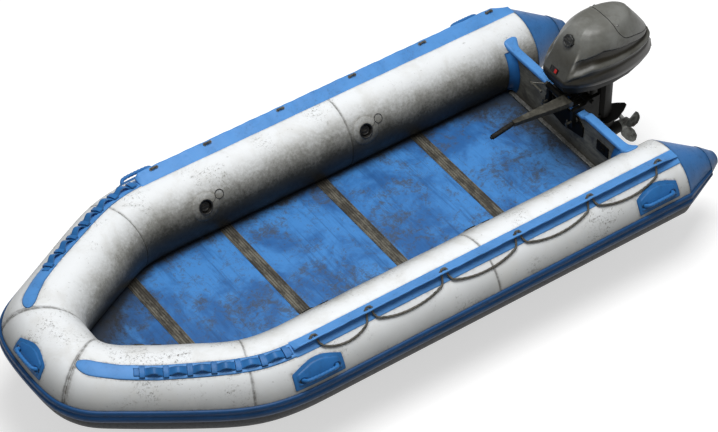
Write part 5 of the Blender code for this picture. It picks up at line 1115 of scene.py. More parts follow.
def leash(s_middle, upright):
    """A thin ring laid on the tube beside the valve, and the cord that ties it to the cap."""
    side = 1.0 if s_middle >= 0.0 else -1.0
    turn = np.linspace(0.0, 2.0 * np.pi, 40)
    ring = on_tube(s_middle + side * LEASH_REACH + LEASH_RING * np.cos(turn),
                   VALVE_ANGLE - 9.0 + LEASH_RING * np.sin(turn) / DEGREE_OF_ARC, 0.0022)
    ring = sheet_mesh(rope_grid(ring, 0.0021, 8, up=upright)[:-1], round_rows=True)
    share = np.linspace(0.0, 1.0, 9)
    tie_angle = VALVE_ANGLE - (3.0 + 5.0 * share) + 2.0 * np.sin(share * np.pi)
    tie = on_tube(s_middle + side * (0.040 + 0.034 * share), tie_angle, 0.0045 - 0.0015 * share)
    return joined(ring, sheet_mesh(rope_grid(smooth_route(tie, 0.003), 0.0013, 8, up=upright)))


for name, s_middle in VALVES.items():
    valve = name.replace("_cap", "")
    piece(f"{valve}_patch", valve_patch(s_middle), white_fabric, 60)
    where, low = tube_seat(s_middle, VALVE_ANGLE), tube_seat(s_middle, VALVE_ANGLE, CAP_DEPTH)
    piece(f"{valve}_housing", turned(HOUSING, 0.0015, 48, where), valve_black, 50)
    bar = sheet_mesh(set_in(slab_grid(0.0225, 0.0035, 0.0034, 4, BAR_LAYERS), low))
    cap = joined(turned(CAP, 0.001, 72, low, lobes=24, depth=0.035), bar)
    piece(f"{name}_screwed", cap, valve_black, 40, name, name)
    piece(f"{valve}_leash", leash(s_middle, where[0][:, 2]), valve_black, 0)
print("valves:", len(VALVES))

# %% [markdown]
# The floor is five aluminium boards, painted blue and worn. Each board reaches to the tubes, so
# its edge follows the curve where a tube's inner side passes the floor's height. Dirt lies in
# the corners, and fine streaks run across the boat.

# %% The floorboards
FLOOR_TOP, BOW_SLOPE, BOARD_THICK, BOARDS = 0.141, 0.12, 0.012, 5
JOINT_FRONTS = (-1.190, -0.528, 0.128, 0.800)


def floor_height(y):
    """The floor's upper face: level, and rising over the bow board."""
    return FLOOR_TOP + BOW_SLOPE * np.clip(JOINT_FRONTS[0] - y, 0.0, None)


def floor_edge():
    """The half width between the tubes at the floor, as rows y and x in rising order of y. The
    floor's height depends on y, so the place is worked out four times over."""
    centre, out, wide, radius = at_length(np.linspace(s_of(1.60), 0.10, 900))
    y = centre[:, 1]
    for _ in range(4):
        sine = np.clip((centre[:, 2] - floor_height(y)) / radius, -1.0, 1.0)
        point = centre[:, :2] - out[:, :2] * (wide * np.sqrt(1.0 - sine ** 2))[:, None]
        y = point[:, 1]
    order = np.argsort(y)
    return y[order], point[order, 0]


EDGE_Y, EDGE_X = floor_edge()


def half_width(y):
    """Half the floor's width at y."""
    return np.interp(y, EDGE_Y, np.maximum(EDGE_X, 0.004))


board_paint = Finish("worn_board_paint", specular=0.4)
cloud = board_paint.noise(2.2, 5.0, 0.66, (1.0, 1.3, 1.0), 0.4)
streaks = board_paint.noise(3.0, 6.0, 0.72, (0.7, 5.0, 1.0), 0.3)
lines = board_paint.noise(14.0, 3.0, 0.6, (0.10, 4.0, 1.0)).ramp(0.57, 0.68)
grit = board_paint.noise(30.0, 8.0, 0.82, twist=0.7)
patches = board_paint.noise(4.5, 6.0, 0.72, twist=0.8)
worn = (grit * 0.55 + patches * 0.45).ramp(0.490, 0.600)
corner = board_paint.number("edge")
dirt = corner * 1.15 + (patches - 0.5) * 1.1 * corner.ramp(0.0, 0.35) + (grit - 0.5) * 0.8 * corner
dirt = dirt.ramp(0.08, 0.90)
board_paint.set("Base Color", board_paint.coats(
    (70, 138, 208), ((46, 102, 166), cloud.ramp(0.40, 0.62)), ((38, 88, 146), streaks.ramp(0.50, 0.68) * 0.60),
    ((34, 76, 124), lines * 0.35), ((70, 74, 74), worn * 0.72), ((34, 33, 28), dirt * 0.92)))
board_paint.set("Roughness", worn * 0.2 + dirt * 0.2 + 0.40)
board_paint.bump(streaks * 0.5 + grit * 0.5, 0.0006)


def board_mesh(front, rear):
    """A board: x = u * half width, y from front to rear, closed underneath 12 mm lower."""
    ease = np.array([0.0, 0.0006, 0.002])
    y = np.linspace(front, rear, int((rear - front) / 0.012) + 2)
    y = np.concatenate([front + ease, y[1:-1], rear - ease[::-1]])[:, None]
    u = np.linspace(-1.0, 1.0, 81)[None, :]
    close = np.minimum(y - front, rear - y)
    side = (1.0 - np.abs(u)) * half_width(y)
    bow, stern = cut((-1.0 - y) / 0.5), cut((y - 1.05) / 0.45)
    edge = (np.exp(-close / 0.024) * 0.52 + np.exp(-side / (0.055 + 0.05 * bow)) * 0.95
            + bow * 0.42 + stern * 0.60)
    top = floor_height(y) - 0.0012 * bell(close, 0.0012)
    upper = np.stack(np.broadcast_arrays(u * half_width(y), y, top), axis=-1)
    lower = upper[:, ::-1] - [0.0, 0.0, BOARD_THICK]
    numbers = {"edge": np.concatenate([edge, edge[:, ::-1]], axis=1)}
    return sheet_mesh(np.concatenate([upper, lower], axis=1), numbers=numbers)


for k in range(BOARDS):
    node = f"floorboard_{k + 1}"
    low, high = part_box(node)
    piece(f"{node}_painted", board_mesh(low[1], high[1]), board_paint, stands_for=node)
print("boards:", BOARDS, "widest", round(2 * float(half_width(0.0)), 3))

# %% [markdown]
# The joints between the boards are extruded aluminium of H section. Their upper face has
# rounded grooves along it, full of dirt.

# %% The floor joints
JOINT_LENGTH, JOINT_WALL, RIDGES = 0.076, 0.003, 5
joint_metal = Finish("worn_joint", metallic=0.35, specular=0.5)
rub = joint_metal.noise(9.0, 5.0, 0.7, (1.0, 3.0, 1.0))
grit = joint_metal.noise(90.0, 4.0, 0.7)
joint_metal.set("Base Color", joint_metal.coats(
    (72, 69, 62), ((122, 119, 108), rub.ramp(0.40, 0.62)), ((38, 35, 31), joint_metal.number("edge") * 0.85),
    ((150, 148, 140), grit.ramp(0.68, 0.76) * 0.6)))
joint_metal.set("Roughness", grit * 0.3 + 0.40)
joint_metal.bump(grit, 0.0004)


def joint_mesh(front):
    """The H section carried across the floor, z(y) = top + ridge height * |cos| to the 1/2."""
    low_out, high_in, high_out = FLOOR_TOP - 0.0155, FLOOR_TOP + 0.0003, FLOOR_TOP + 0.0033
    across = np.linspace(0.0, JOINT_LENGTH, 61)
    ridge = np.sqrt(np.abs(np.cos(across / JOINT_LENGTH * np.pi * RIDGES)))
    face = np.stack([across, high_out + 0.0016 * ridge - 0.0014], axis=1)
    face[0, 1] = face[-1, 1] = high_out - 0.0014
    low_in = low_out + JOINT_WALL
    web = [(JOINT_LENGTH, high_in), (0.041, high_in), (0.041, low_in), (JOINT_LENGTH, low_in),
           (JOINT_LENGTH, low_out), (0.0, low_out), (0.0, low_in), (0.035, low_in), (0.035, high_in),
           (0.0, high_in)]
    section = np.concatenate([face, web]) + [front, 0.0]
    u = np.linspace(-1.0, 1.0, 60)[:, None]
    y, z = section.T[:, None, :]
    grid = np.stack(np.broadcast_arrays(u * (half_width(y) - 0.0005), y, z), axis=-1)
    groove = np.concatenate([1.0 - ridge, np.zeros(len(web))])[None, :]
    side = (1.0 - np.abs(u)) * half_width(front)
    return sheet_mesh(grid, numbers={"edge": cut(groove * 0.9 + np.exp(-side / 0.05) * 0.8)})


for k, front in enumerate(JOINT_FRONTS):
    node = f"floor_joint_{k + 1}"
    piece(f"{node}_extrusion", joint_mesh(front), joint_metal, 50, stands_for=node)
print("joints:", len(JOINT_FRONTS))

# %% [markdown]
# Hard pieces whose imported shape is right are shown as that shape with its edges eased: a copy
# of the node's mesh is merged and given a narrow bevel, and the copy stands for the node.

# %% Easing the edges of hard pieces
EASED_ANGLE, MERGED, FLAT_ANGLE = 30.0, 0.00002, 0.5


def eased(node, finish, body="hull", width=0.0015):
    """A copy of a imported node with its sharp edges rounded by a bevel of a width."""
    shape = bmesh.new()
    shape.from_mesh(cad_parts[node].data)
    bmesh.ops.remove_doubles(shape, verts=shape.verts, dist=MERGED)
    bmesh.ops.dissolve_limit(shape, angle_limit=math.radians(FLAT_ANGLE), verts=shape.verts,
                             edges=shape.edges)
    mesh = bpy.data.meshes.new("eased")
    shape.to_mesh(mesh)
    shape.free()
    made = piece(f"{node}_eased", mesh, finish, EASED_ANGLE, body, node)
    bevel = made.modifiers.new("eased edges", "BEVEL")
    bevel.width = width
    bevel.segments = 3
    bevel.limit_method = "ANGLE"
    bevel.angle_limit = math.radians(EASED_ANGLE)
    bevel.harden_normals = True


# %% [markdown]
# The transom is a sealed plywood board, grey with age. A padded blue cap covers its upper edge
# and flares on to the tubes, and blue corner strips bond its face to them.

# %% The transom
TRANSOM_Y, TRANSOM_BACK = 1.525, 1.5675
aged_wood = Finish("aged_plywood")
grain = aged_wood.noise(9.0, 7.0, 0.75, (1.0, 1.0, 2.5), 0.4)
blotch = aged_wood.noise(9.0, 5.0, 0.65, twist=0.5)
foot_dirt = aged_wood.height().ramp(0.27, 0.13) * (blotch + 0.35).least(1.0)
aged_wood.set("Base Color", aged_wood.coats(
    (84, 80, 68), ((126, 122, 108), grain.ramp(0.35, 0.66)), ((48, 45, 40), blotch.ramp(0.52, 0.70) * 0.75),
    ((38, 35, 30), foot_dirt)))
aged_wood.set("Roughness", grain * 0.3 + 0.45)
aged_wood.bump(grain, 0.0008)
worn_steel = two_tone("worn_steel", (96, 96, 94), (172, 172, 168), (60.0, 4.0, 0.7, (1.0, 6.0, 1.0)),
                      (0.35, 0.65), (0.25, 0.35), metallic=0.85)
moulded_black = two_tone("moulded_black", (9, 7, 3), (32, 27, 17), (70.0, 4.0, 0.7), (0.45, 0.75),
                         (0.48, 0.3), (400.0, 2.0, 0.0003), specular=0.1)
eased("transom_board", aged_wood, width=0.002)
eased("foot_rail", worn_steel, width=0.003)
eased("motor_pad", moulded_black, width=0.002)
eased("transom_plate", moulded_black)

# The drain on the transom's face: a turned plug with a grip bar, and four screws round it.
DRAIN_AT, FORWARD = (0.352, 1.5189, 0.333), (0.0, -1.0, 0.0)
PLUG = [(0.0, -0.001), (0.024, -0.001), (0.0245, 0.002), (0.022, 0.005), (0.015, 0.0052),
        (0.0135, 0.0032), (0.0, 0.0030)]
PLUG_BAR = ((0.002, 1.0), (0.0072, 0.96), (0.0078, 0.88))
DRAIN_SCREW = [(0.0, -0.001), (0.0042, -0.001), (0.0042, 0.0010), (0.0030, 0.0022), (0.0, 0.0026)]
facing = seat(DRAIN_AT, FORWARD)
drain = [turned(PLUG, 0.0015, 40, facing),
         sheet_mesh(set_in(slab_grid(0.0115, 0.0022, 0.002, 3, PLUG_BAR), facing))]
for x in (-0.043, 0.043):
    for z in (-0.027, 0.027):
        drain.append(turned(DRAIN_SCREW, 0.0, 12, seat(np.add(DRAIN_AT, (x, 0.0, z)), FORWARD)))
piece("drain_fittings", joined(*drain), moulded_black)
print("pieces of the drain:", len(drain))

# %% [markdown]
# The cap is a soft moulding: a section with a rounded crown, carried along a table of places
# from the motor's notch to the tubes. Places between the table's rows are blended smoothly.

# %% The transom's cap and corner strips
TOP_Z = float(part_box("transom_board")[1][2])
NOTCH_Z, BRIDGE_HALF = TOP_Z - 0.016, 0.152
corner_x = float(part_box("transom_cap")[1][0]) - 0.044
places = np.array([
    # x, lower edge, crown, front, back
    (0.150, NOTCH_Z - 0.012, NOTCH_Z + 0.013, -0.012, 0.001),
    (0.162, NOTCH_Z - 0.012, NOTCH_Z + 0.015, -0.013, 0.001),
    (0.186, TOP_Z - 0.012, TOP_Z + 0.017, -0.013, 0.001),
    (0.215, TOP_Z - 0.012, TOP_Z + 0.021, -0.013, 0.001),
    (corner_x - 0.060, TOP_Z - 0.012, TOP_Z + 0.021, -0.013, 0.002),
    (corner_x - 0.022, TOP_Z - 0.010, TOP_Z + 0.023, -0.014, 0.006),
    (corner_x, TOP_Z - 0.006, TOP_Z + 0.030, -0.020, 0.017),
    (corner_x + 0.022, TOP_Z + 0.010, TOP_Z + 0.040, -0.021, 0.027),
    (corner_x + 0.043, TOP_Z + 0.026, TOP_Z + 0.048, -0.020, 0.031),
]) + [0.0, 0.0, 0.0, TRANSOM_Y, TRANSOM_BACK]
at = np.linspace(0.0, len(places) - 1.0, 90)
rows = np.stack([np.interp(at, np.arange(len(places)), column) for column in places.T], axis=1)
rows[2:-2] = (rows[:-4] + rows[1:-3] + rows[2:-2] + rows[3:-1] + rows[4:]) / 5.0
rows = np.concatenate([rows[:1], rows[:1], rows, rows[-1:], rows[-1:]])
rows[[0, 1, -2, -1], 0] += (-0.003, -0.0025, 0.0025, 0.004)
shrink = np.ones((len(rows), 1))
shrink[:2, 0] = 0.72, 0.90
shrink[-14:, 0] = np.sqrt(1.0 - np.linspace(0.0, 0.985, 14) ** 2.6)
turn = turns(40)[None, :]
round_y = np.sign(np.cos(turn)) * np.abs(np.cos(turn)) ** 0.55
round_z = np.sign(np.sin(turn)) * np.abs(np.sin(turn)) ** 0.60


def cap_length(x, y, z, rise):
    """A length of the cap, with grime along its lower edge; rise is the height over that edge."""
    edge = np.exp(-np.clip(rise, 0.0, None) / 0.004) * 0.9
    return sheet_mesh(np.stack(np.broadcast_arrays(x, y, z), axis=-1), numbers={"edge": edge})


x, low, crown, fore, aft = (column[:, None] for column in rows.T)
y = (fore + aft) / 2.0 + (aft - fore) / 2.0 * round_y * shrink
z = (low + crown) / 2.0 + (crown - low) / 2.0 * round_z * shrink
lengths = [cap_length(side * x, y, z, z - low) for side, _ in SIDES]
y = (rows[2, 3] + rows[2, 4]) / 2.0 + 0.027 * round_y
z = NOTCH_Z - 0.0005 + 0.0125 * round_z
bridge = np.linspace(-BRIDGE_HALF, BRIDGE_HALF, 30)[:, None]
lengths.append(cap_length(bridge, y, z, z - NOTCH_Z + 0.01))
piece("transom_cap_moulding", joined(*lengths), flap_fabric, 60, stands_for="transom_cap")

# A corner strip's section is hollow: a quarter round between the board and the tube.
STRIP_REACH, BEND = 0.0455, 1.15
angle = np.linspace(138.5, 206.0, 48)[:, None]
t = np.linspace(0.0, 0.5 * np.pi, 12)[None, :]
y = TRANSOM_Y - 0.0012 - STRIP_REACH * (1.0 - np.sin(t)) ** BEND
height = 0.0012 + STRIP_REACH * (1.0 - np.cos(t)) ** BEND
rim = np.exp(-np.minimum(t, 0.5 * np.pi - t) / 0.10)
edge = np.concatenate([rim, np.zeros((1, 3))], axis=1)
for side, label in SIDES:
    hollow = on_tube(s_of(y, side), angle, height)
    back_face = on_tube(s_of(TRANSOM_Y - 0.0006, side), angle, [[STRIP_REACH, 0.0]])
    under = on_tube(s_of(TRANSOM_Y - STRIP_REACH, side), angle, 0.0004)
    strip = sheet_mesh(np.concatenate([hollow, back_face, under], axis=1), numbers={"edge": edge})
    piece(f"{label}_corner_strip", strip, blue_fabric, 60, stands_for=f"{label}_transom_fillet")
print("lengths of the cap:", len(lengths), "top", round(float(crown.max()), 3))

# %% [markdown]
# The cowling is one grid: levels from the split line to the crown, and a plan outline with a
# flat front. Each level scales the outline by its own width, front and rear. Ribs and a hollow
# band swell and sink the surface along the levels.

# %% The motor's cowling
COWL_FRONT, COWL_REAR, COWL_HALF = 1.415, 2.105, 0.205
SPLIT_Z, SPLIT_GAP, COWL_TOP = 0.660, 0.0008, 0.980
PLAN = np.array([(0.0, 0.0), (0.0, 0.46), (0.10, 0.72), (0.26, 0.93), (0.46, 1.0), (0.66, 0.93),
                 (0.84, 0.74), (0.95, 0.48), (1.0, 0.22), (1.0, 0.0)])
LEVELS = np.array([
    # share of the height, width, front, rear
    (0.00, 0.950, 0.000, 0.985), (0.03, 0.975, 0.000, 0.980), (0.10, 1.000, 0.000, 0.960),
    (0.20, 0.985, 0.022, 0.947), (0.34, 0.950, 0.055, 0.933), (0.50, 0.905, 0.096, 0.897),
    (0.66, 0.850, 0.138, 0.845), (0.76, 0.770, 0.164, 0.812), (0.86, 0.660, 0.190, 0.775),
    (0.93, 0.565, 0.222, 0.752), (0.97, 0.480, 0.254, 0.735), (0.99, 0.380, 0.285, 0.715),
    (1.00, 0.300, 0.315, 0.695), (1.004, 0.180, 0.370, 0.630), (1.006, 0.060, 0.440, 0.550)])
# Lines over the flank: places along it, and shares of the height.
RIB_LINE = np.array([(0.0, 0.19), (0.04, 0.24), (0.18, 0.37), (0.51, 0.39), (0.80, 0.36), (1.0, 0.33)])
BAND_LINE = np.array([(0.0, 0.44), (0.03, 0.50), (0.27, 0.66), (0.66, 0.56), (0.90, 0.44), (1.0, 0.40)])
SILL_LINE = np.array([(0.0, 0.10), (0.10, 0.20), (0.30, 0.28), (0.60, 0.30), (1.0, 0.25)])


def plan_outline():
    """The plan outline's port half as fine points (along, wide): a flat front, a quick corner,
    and smooth flanks that close at the rear."""
    port = rounded(PLAN[:3], 0.030, 7)[:-1]
    port = np.concatenate([port, np.linspace(port[-1], PLAN[2], 9)[1:-1]])
    tail = rounded([PLAN[8], (1.0, 0.1), PLAN[9]], 0.05)
    return np.concatenate([port, smooth_route(PLAN[2:9], 0.035), tail[1:]])


def over(t, line, along):
    """How far a height share lies over a line of the flank."""
    return t - np.interp(along, *line.T)


def band_share(t, along):
    """How deep the hollow band is at a place: it starts at the rib line, grows to its full depth
    just under the band line, and steps back out there."""
    above = over(t, RIB_LINE, along) - 0.02
    u = above / (above - over(t, BAND_LINE, along))
    return cut(u / 0.45) * cut((1.06 - u) / 0.14) * (u > 0.0)


def relief(t, along, wide):
    """What swells or sinks the flank: a rib, the hollow band above it, a groove under it, and a
    raised rim round the front face."""
    flank = cut(along / 0.06) * cut((1.05 - along) / 0.08)
    shape = (0.0085 * bell(over(t, RIB_LINE, along), 0.035) - 0.0150 * band_share(t, along)
             - 0.0060 * bell(over(t, SILL_LINE, along), 0.030))
    rim = 0.0050 * bell(along - 0.022, 0.020) * bell(wide - 0.56, 0.10)
    return shape * flank + rim * cut(t / 0.2) * cut((0.80 - t) / 0.2)


def cowl_point(along, wide, t, proud):
    """A point of the cowling's port half from its place in the plan outline and its share of
    the height."""
    width, front, rear = (np.interp(t, LEVELS[:, 0], LEVELS[:, k]) for k in (1, 2, 3))
    swell = relief(t, along, wide) + proud
    length = COWL_REAR - COWL_FRONT
    y = COWL_FRONT + length * (front + (rear - front) * along) + swell * 2.0 * (along - 0.5)
    x = COWL_HALF * width * wide + swell * cut(wide * 2.0)
    z = SPLIT_Z + SPLIT_GAP + (COWL_TOP - SPLIT_Z) * t
    return np.stack(np.broadcast_arrays(x, y, z), axis=-1)


port = plan_outline()
along, wide = np.concatenate([port, port[-2:0:-1]]).T[:, None, :]
t = np.concatenate([[0.0, 0.0, 0.004], np.linspace(0.012, 0.97, 110),
                    [0.98, 0.99, 0.996, 1.0, 1.002, 1.004, 1.006]])[:, None]
tuck = np.zeros_like(t)
tuck[:2, 0] = -0.010, -0.002
half = cowl_point(*port.T[:, None, :], t, tuck)
shell = np.concatenate([half, half[:, -2:0:-1] * [-1.0, 1.0, 1.0]], axis=1)
# Four passes of a running mean over neighbouring levels soften the creases between them.
for _ in range(4):
    shell[4:-1] = (shell[3:-2] + 2.0 * shell[4:-1] + shell[5:]) / 4.0
print("cowling points:", shell[..., 0].size)

# %% [markdown]
# The shell's paint is grey. Shade is painted into the hollow band, under the rib, over the lower
# flank and on the face, and a pale highlight is painted along the front corners.

# %% The cowling's paint
shell_grey = Finish("painted_shell", specular=0.5)
tint = shell_grey.noise(5.0, 5.0, 0.6)
rubbed = shell_grey.noise(16.0, 6.0, 0.72, twist=0.5)
chips = shell_grey.noise(70.0, 4.0, 0.7).ramp(0.67, 0.72)
# The number read here is painted shade over the band, the lower flank and the face; the pale coat of the
# corners is a painted highlight.
soot = shell_grey.number("soot")
shell_grey.set("Base Color", shell_grey.coats(
    (98, 98, 92), ((120, 121, 117), tint.ramp(0.32, 0.62)), ((84, 82, 75), rubbed.ramp(0.50, 0.66) * 0.35),
    ((30, 25, 11), (soot + (rubbed - 0.5) * 0.35 * soot).ramp(0.0, 1.0)),
    ((178, 176, 168), shell_grey.number("rubbed_edge") * 0.7), ((120, 117, 106), chips * 0.35)))
shell_grey.set("Roughness", tint * 0.25 + 0.28)
shell_grey.bump(shell_grey.noise(500.0, 2.0), 0.0002)
# Painted shade: the hollow band, under the rib, the lower flank, and the front face, darker towards its
# bottom.
band = cut(band_share(t, along) * 1.6) * cut(along / 0.08) * 0.93
below = cut((-0.030 - over(t, RIB_LINE, along)) / 0.03) * 0.92
face = cut((0.018 - along) / 0.008) * cut((0.95 - t) / 0.50) * 0.62
above = cut(1.0 - over(t, BAND_LINE, along) / 0.22) * 0.45
# A painted highlight along the front corners.
corners = bell(wide - 0.525, 0.022) * (along < 0.3) * cut((t - 0.30) / 0.08) * cut((0.66 - t) / 0.08)
numbers = {"soot": np.maximum.reduce([band, below, face, above]), "rubbed_edge": corners}
piece("cowling_shell", sheet_mesh(shell, numbers=numbers), shell_grey, 42, "motor", "cowling")
# The shell's paint holds painted shade and a painted highlight on its front corners.
print("cowling paint: soot and rubbed corners")

# %% [markdown]
# The lid's seam is a dark line that runs over the crown and down both flanks, and one screw
# holds the lid on each side.

# %% The lid's seam and screws
LID = [(0.45, 1.006), (0.46, 1.004), (0.475, 0.99), (0.50, 0.96), (0.53, 0.89), (0.565, 0.80),
       (0.60, 0.735), (0.66, 0.70), (0.74, 0.665), (0.86, 0.57), (0.94, 0.49), (0.995, 0.44)]
SCREW_ALONG, SCREW_HEIGHT, SEAM_RADIUS, LITTLE = 0.573, 0.944, 0.0021, 0.02
SCREW_HEAD = [(0.0, -0.004), (0.0080, -0.004), (0.0080, 0.0024), (0.0060, 0.0038), (0.0, 0.0040)]
seam_black = two_tone("seam_black", (14, 14, 13), (34, 33, 30), (80.0,), roughness=0.7)


def on_shell(places, side):
    """Points of the finished shell at places (along, height share): between the grid's rows and
    columns, weighted by how near the place lies to each of the four corners of its cell."""
    along, share = np.asarray(places, float).T
    row = np.interp(share, t[2:, 0], np.arange(2, len(t)))
    column = np.interp(along, port[:, 0] + np.arange(len(port)) * 1e-9, np.arange(len(port)))
    r, c = np.minimum(row.astype(int), len(t) - 2), np.minimum(column.astype(int), len(port) - 2)
    u, v = (row - r)[:, None], (column - c)[:, None]
    point = ((shell[r, c] * (1 - v) + shell[r, c + 1] * v) * (1 - u)
             + (shell[r + 1, c] * (1 - v) + shell[r + 1, c + 1] * v) * u)
    return point * [side, 1.0, 1.0]


flank = smooth_route(LID, 0.01)
seam = np.concatenate([on_shell(flank, 1)[::-1], on_shell(flank, -1)])
piece("lid_seam", sheet_mesh(rope_grid(seam, SEAM_RADIUS, 8)), seam_black, 0, "motor")
heads = []
for side, _ in SIDES:
    at, ahead, above = on_shell([(SCREW_ALONG, SCREW_HEIGHT), (SCREW_ALONG + LITTLE, SCREW_HEIGHT),
                                 (SCREW_ALONG, SCREW_HEIGHT + LITTLE)], side)
    out = unit(np.cross(ahead - at, above - at))
    heads.append(turned(SCREW_HEAD, 0.0008, 24, seat(at, out * np.sign(out[2]), ahead - at)))
piece("lid_screws", joined(*heads), worn_steel, 40, "motor")
print("seam length:", round(float(arc_length(seam)[-1]), 3))

# %% [markdown]
# The knob, the switch panel and the stop button sit square on the cowling's sloping front. The
# knob is turned with lobes pressed into its rim.

# %% The cowling's fittings
FACE_OUT = (0.0, -0.2432, 0.1311)
PANEL_AT, KNOB_AT, STOP_AT = (-0.007, 1.4312, 0.722), (0.0, 1.5261, 0.898), (0.011, 1.4312, 0.722)
PANEL_LAYERS = ((-0.002, 1.0), (0.0028, 1.0), (0.0038, 0.975), (0.0038, 0.90), (0.0026, 0.88), (0.0026, 0.80))
KNOB = [(0.0, -0.004), (0.026, -0.004), (0.0265, 0.0012), (0.0375, 0.0020), (0.0395, 0.0050),
        (0.0395, 0.0190), (0.0365, 0.0225), (0.0290, 0.0230), (0.0270, 0.0190), (0.0, 0.0180)]
KNOB_BAR = ((0.0160, 1.0), (0.0235, 0.97), (0.0252, 0.90), (0.0258, 0.80))
STOP_LAYERS = ((0.0070, 0.96), (0.0076, 1.0), (0.0098, 1.0), (0.0106, 0.94))
STOP_STEM = [(0.0, 0.0042), (0.0062, 0.0042), (0.0062, 0.0072), (0.0, 0.0072)]
panel_black = two_tone("panel_black", (18, 18, 18), (40, 38, 36), (90.0, 3.0), (0.45, 0.7),
                       bump=(500.0, 0.0002), roughness=0.35)
knob_black = two_tone("knob_black", (34, 35, 34), (62, 62, 60), (90.0, 4.0), (0.42, 0.70),
                      bump=(500.0, 2.0, 0.0002), roughness=0.42)
red_switch = two_tone("red_switch", (196, 30, 26), (140, 18, 16), (60.0,), roughness=0.35)
on_panel, on_knob, on_stop = (seat(place, FACE_OUT) for place in (PANEL_AT, KNOB_AT, STOP_AT))
panel = sheet_mesh(set_in(slab_grid(0.035, 0.017, 0.004, 4, PANEL_LAYERS), on_panel))
piece("control_panel", panel, panel_black, 40, "motor")
knob = joined(turned(KNOB, 0.0016, 96, on_knob, lobes=8, depth=0.10),
              sheet_mesh(set_in(slab_grid(0.027, 0.005, 0.0048, 4, KNOB_BAR), on_knob)))
piece("choke_knob_turned", knob, knob_black, 45, "choke", "choke_knob")
stop = joined(sheet_mesh(set_in(slab_grid(0.0095, 0.0115, 0.0022, 4, STOP_LAYERS), on_stop)),
              turned(STOP_STEM, 0.0, 24, on_stop))
piece("stop_button_cap", stop, red_switch, 40, "stop", "stop_button")
print("fittings on the cowling's front: 3")

# %% [markdown]
# The leg, brackets and controls are painted castings. Their imported shapes are right, so each is
# shown with eased edges and a finish mottled between a darker and a paler tone.

# %% The motor's castings
dark_casting = two_tone("dark_casting", (13, 12, 7), (40, 38, 30), (30.0, 5.0, 0.7), (0.50, 0.84),
                        (0.45, 0.3), (220.0, 3.0, 0.0004), specular=0.2)
grey_casting = Finish("grey_casting", metallic=0.2)
cast = grey_casting.noise(26.0, 5.0, 0.7)
grey_casting.set("Base Color", grey_casting.coats(
    (56, 54, 46), ((88, 86, 77), cast.ramp(0.38, 0.70)),
    ((40, 37, 32), grey_casting.noise(8.0, 4.0).ramp(0.5, 0.7) * 0.7)))
grey_casting.set("Roughness", cast * 0.3 + 0.30)
grey_casting.bump(grey_casting.noise(260.0, 3.0), 0.0004)
blade_metal = two_tone("blade_metal", (128, 130, 125), (78, 77, 72), (18.0, 4.0, 0.65), (0.40, 0.66),
                       (0.28, 0.3), (200.0, 3.0, 0.0003), metallic=0.5)
grip_rubber = two_tone("grip_rubber", (20, 19, 16), (40, 38, 34), (60.0, 4.0), (0.4, 0.7),
                       bump=(300.0, 2.0, 0.0003), roughness=0.7, specular=0.2)
# Nodes with eased edges: finish, slot, body and the bevel's width.
for node, finish, slot, body, width in (
        ("drive_leg", dark_casting, "motor_black", "motor", 0.0025),
        ("gearcase", dark_casting, "motor_black", "motor", 0.0020),
        ("swivel_bracket", dark_casting, "motor_black", "swivel", 0.0015),
        ("clamp_bracket", dark_casting, "bracket_grey", "hull", 0.0020),
        ("tiller_arm", grey_casting, "bracket_grey", "tiller", 0.0025),
        ("shift_lever", grey_casting, "bracket_grey", "shift_lever", 0.0010),
        ("port_clamp_screw", grey_casting, "steel", "port_clamp_screw", 0.0008),
        ("starboard_clamp_screw", grey_casting, "steel", "starboard_clamp_screw", 0.0008),
        ("propeller", blade_metal, "prop_grey", "propeller", 0.0010),
        ("throttle_grip", grip_rubber, "grip_rubber", "grip", 0.0008)):
    eased(node, finish, body, width)

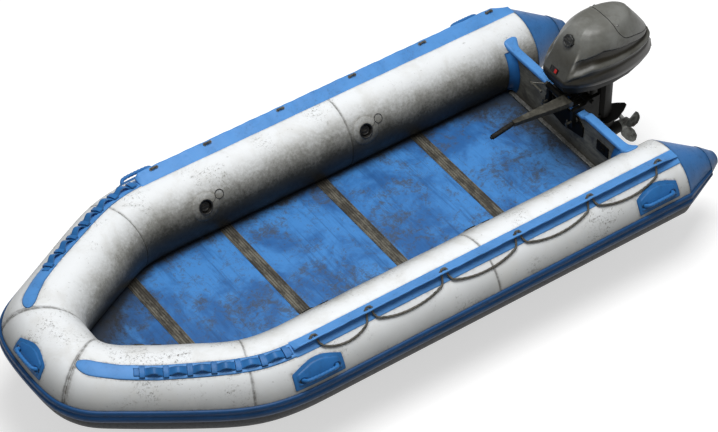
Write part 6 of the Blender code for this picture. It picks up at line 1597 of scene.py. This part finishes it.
# The cover between the cowling and the bracket: height, half width, front and rear.
COVER = ((0.531, 0.078, 1.548, 1.860), (0.536, 0.092, 1.537, 1.880), (0.552, 0.104, 1.528, 1.895),
         (0.584, 0.112, 1.515, 1.925), (0.590, 0.112, 1.515, 1.925))
turn = turns(48)
bend_x = np.sign(np.sin(turn)) * np.abs(np.sin(turn)) ** 0.7
bend_y = np.sign(np.cos(turn)) * np.abs(np.cos(turn)) ** 0.7
cover = np.array([np.stack([half * bend_x, (front + rear) / 2.0 + (rear - front) / 2.0 * bend_y,
                            z + 0.0 * turn], axis=-1) for z, half, front, rear in COVER])
piece("mount_cover", sheet_mesh(cover), moulded_black, 40, "motor")

# A bridge on each side joins the bracket's clamps to its middle, lower where the leg turns.
RAIL = ring_profile([(1.496, 0.4795), (1.572, 0.4795), (1.572, 0.5005), (1.560, 0.5035),
                     (1.508, 0.5035), (1.496, 0.4965)], 0.003)
BRIDGE_TOPS = np.array([(0.048, 0.5035), (0.0488, 0.5035), (0.0740, 0.5035), (0.0765, 0.4940),
                        (0.0992, 0.4940), (0.1, 0.4940)])
bridges = [sheet_mesh(np.array([[(x, y, min(z, top)) for y, z in RAIL] for x, top in span]))
           for span in ((BRIDGE_TOPS * [-1.0, 1.0])[::-1], BRIDGE_TOPS)]
piece("bracket_bridge", joined(*bridges), dark_casting, 40)

BLOCK = ring_profile([(1.592, 0.408), (1.628, 0.404), (1.630, 0.472), (1.594, 0.472)], 0.006, 4)
block = np.array([[(x, y, z) for y, z in BLOCK] for x in (-0.088, -0.087, 0.087, 0.088)])
piece("swivel_block", sheet_mesh(block), dark_casting, 40, "swivel")

CABLE = [(0.118, 1.560, 0.5870), (0.113, 1.545, 0.5760), (0.105, 1.530, 0.5640), (0.094, 1.512, 0.5460),
         (0.089, 1.494, 0.5260), (0.086, 1.477, 0.5110), (0.080, 1.464, 0.5050), (0.072, 1.455, 0.5055)]
route = smooth_route(CABLE, 0.003)
sheath = sheet_mesh(rope_grid(route, 0.003))
piece("throttle_cable_sheath", sheath, moulded_black, 0, "motor", "throttle_cable")
print("cable length:", round(float(arc_length(route)[-1]), 3))

# %% Closing
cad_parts["keel_tube"].data.materials[0] = black_rubber.material
low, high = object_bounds()
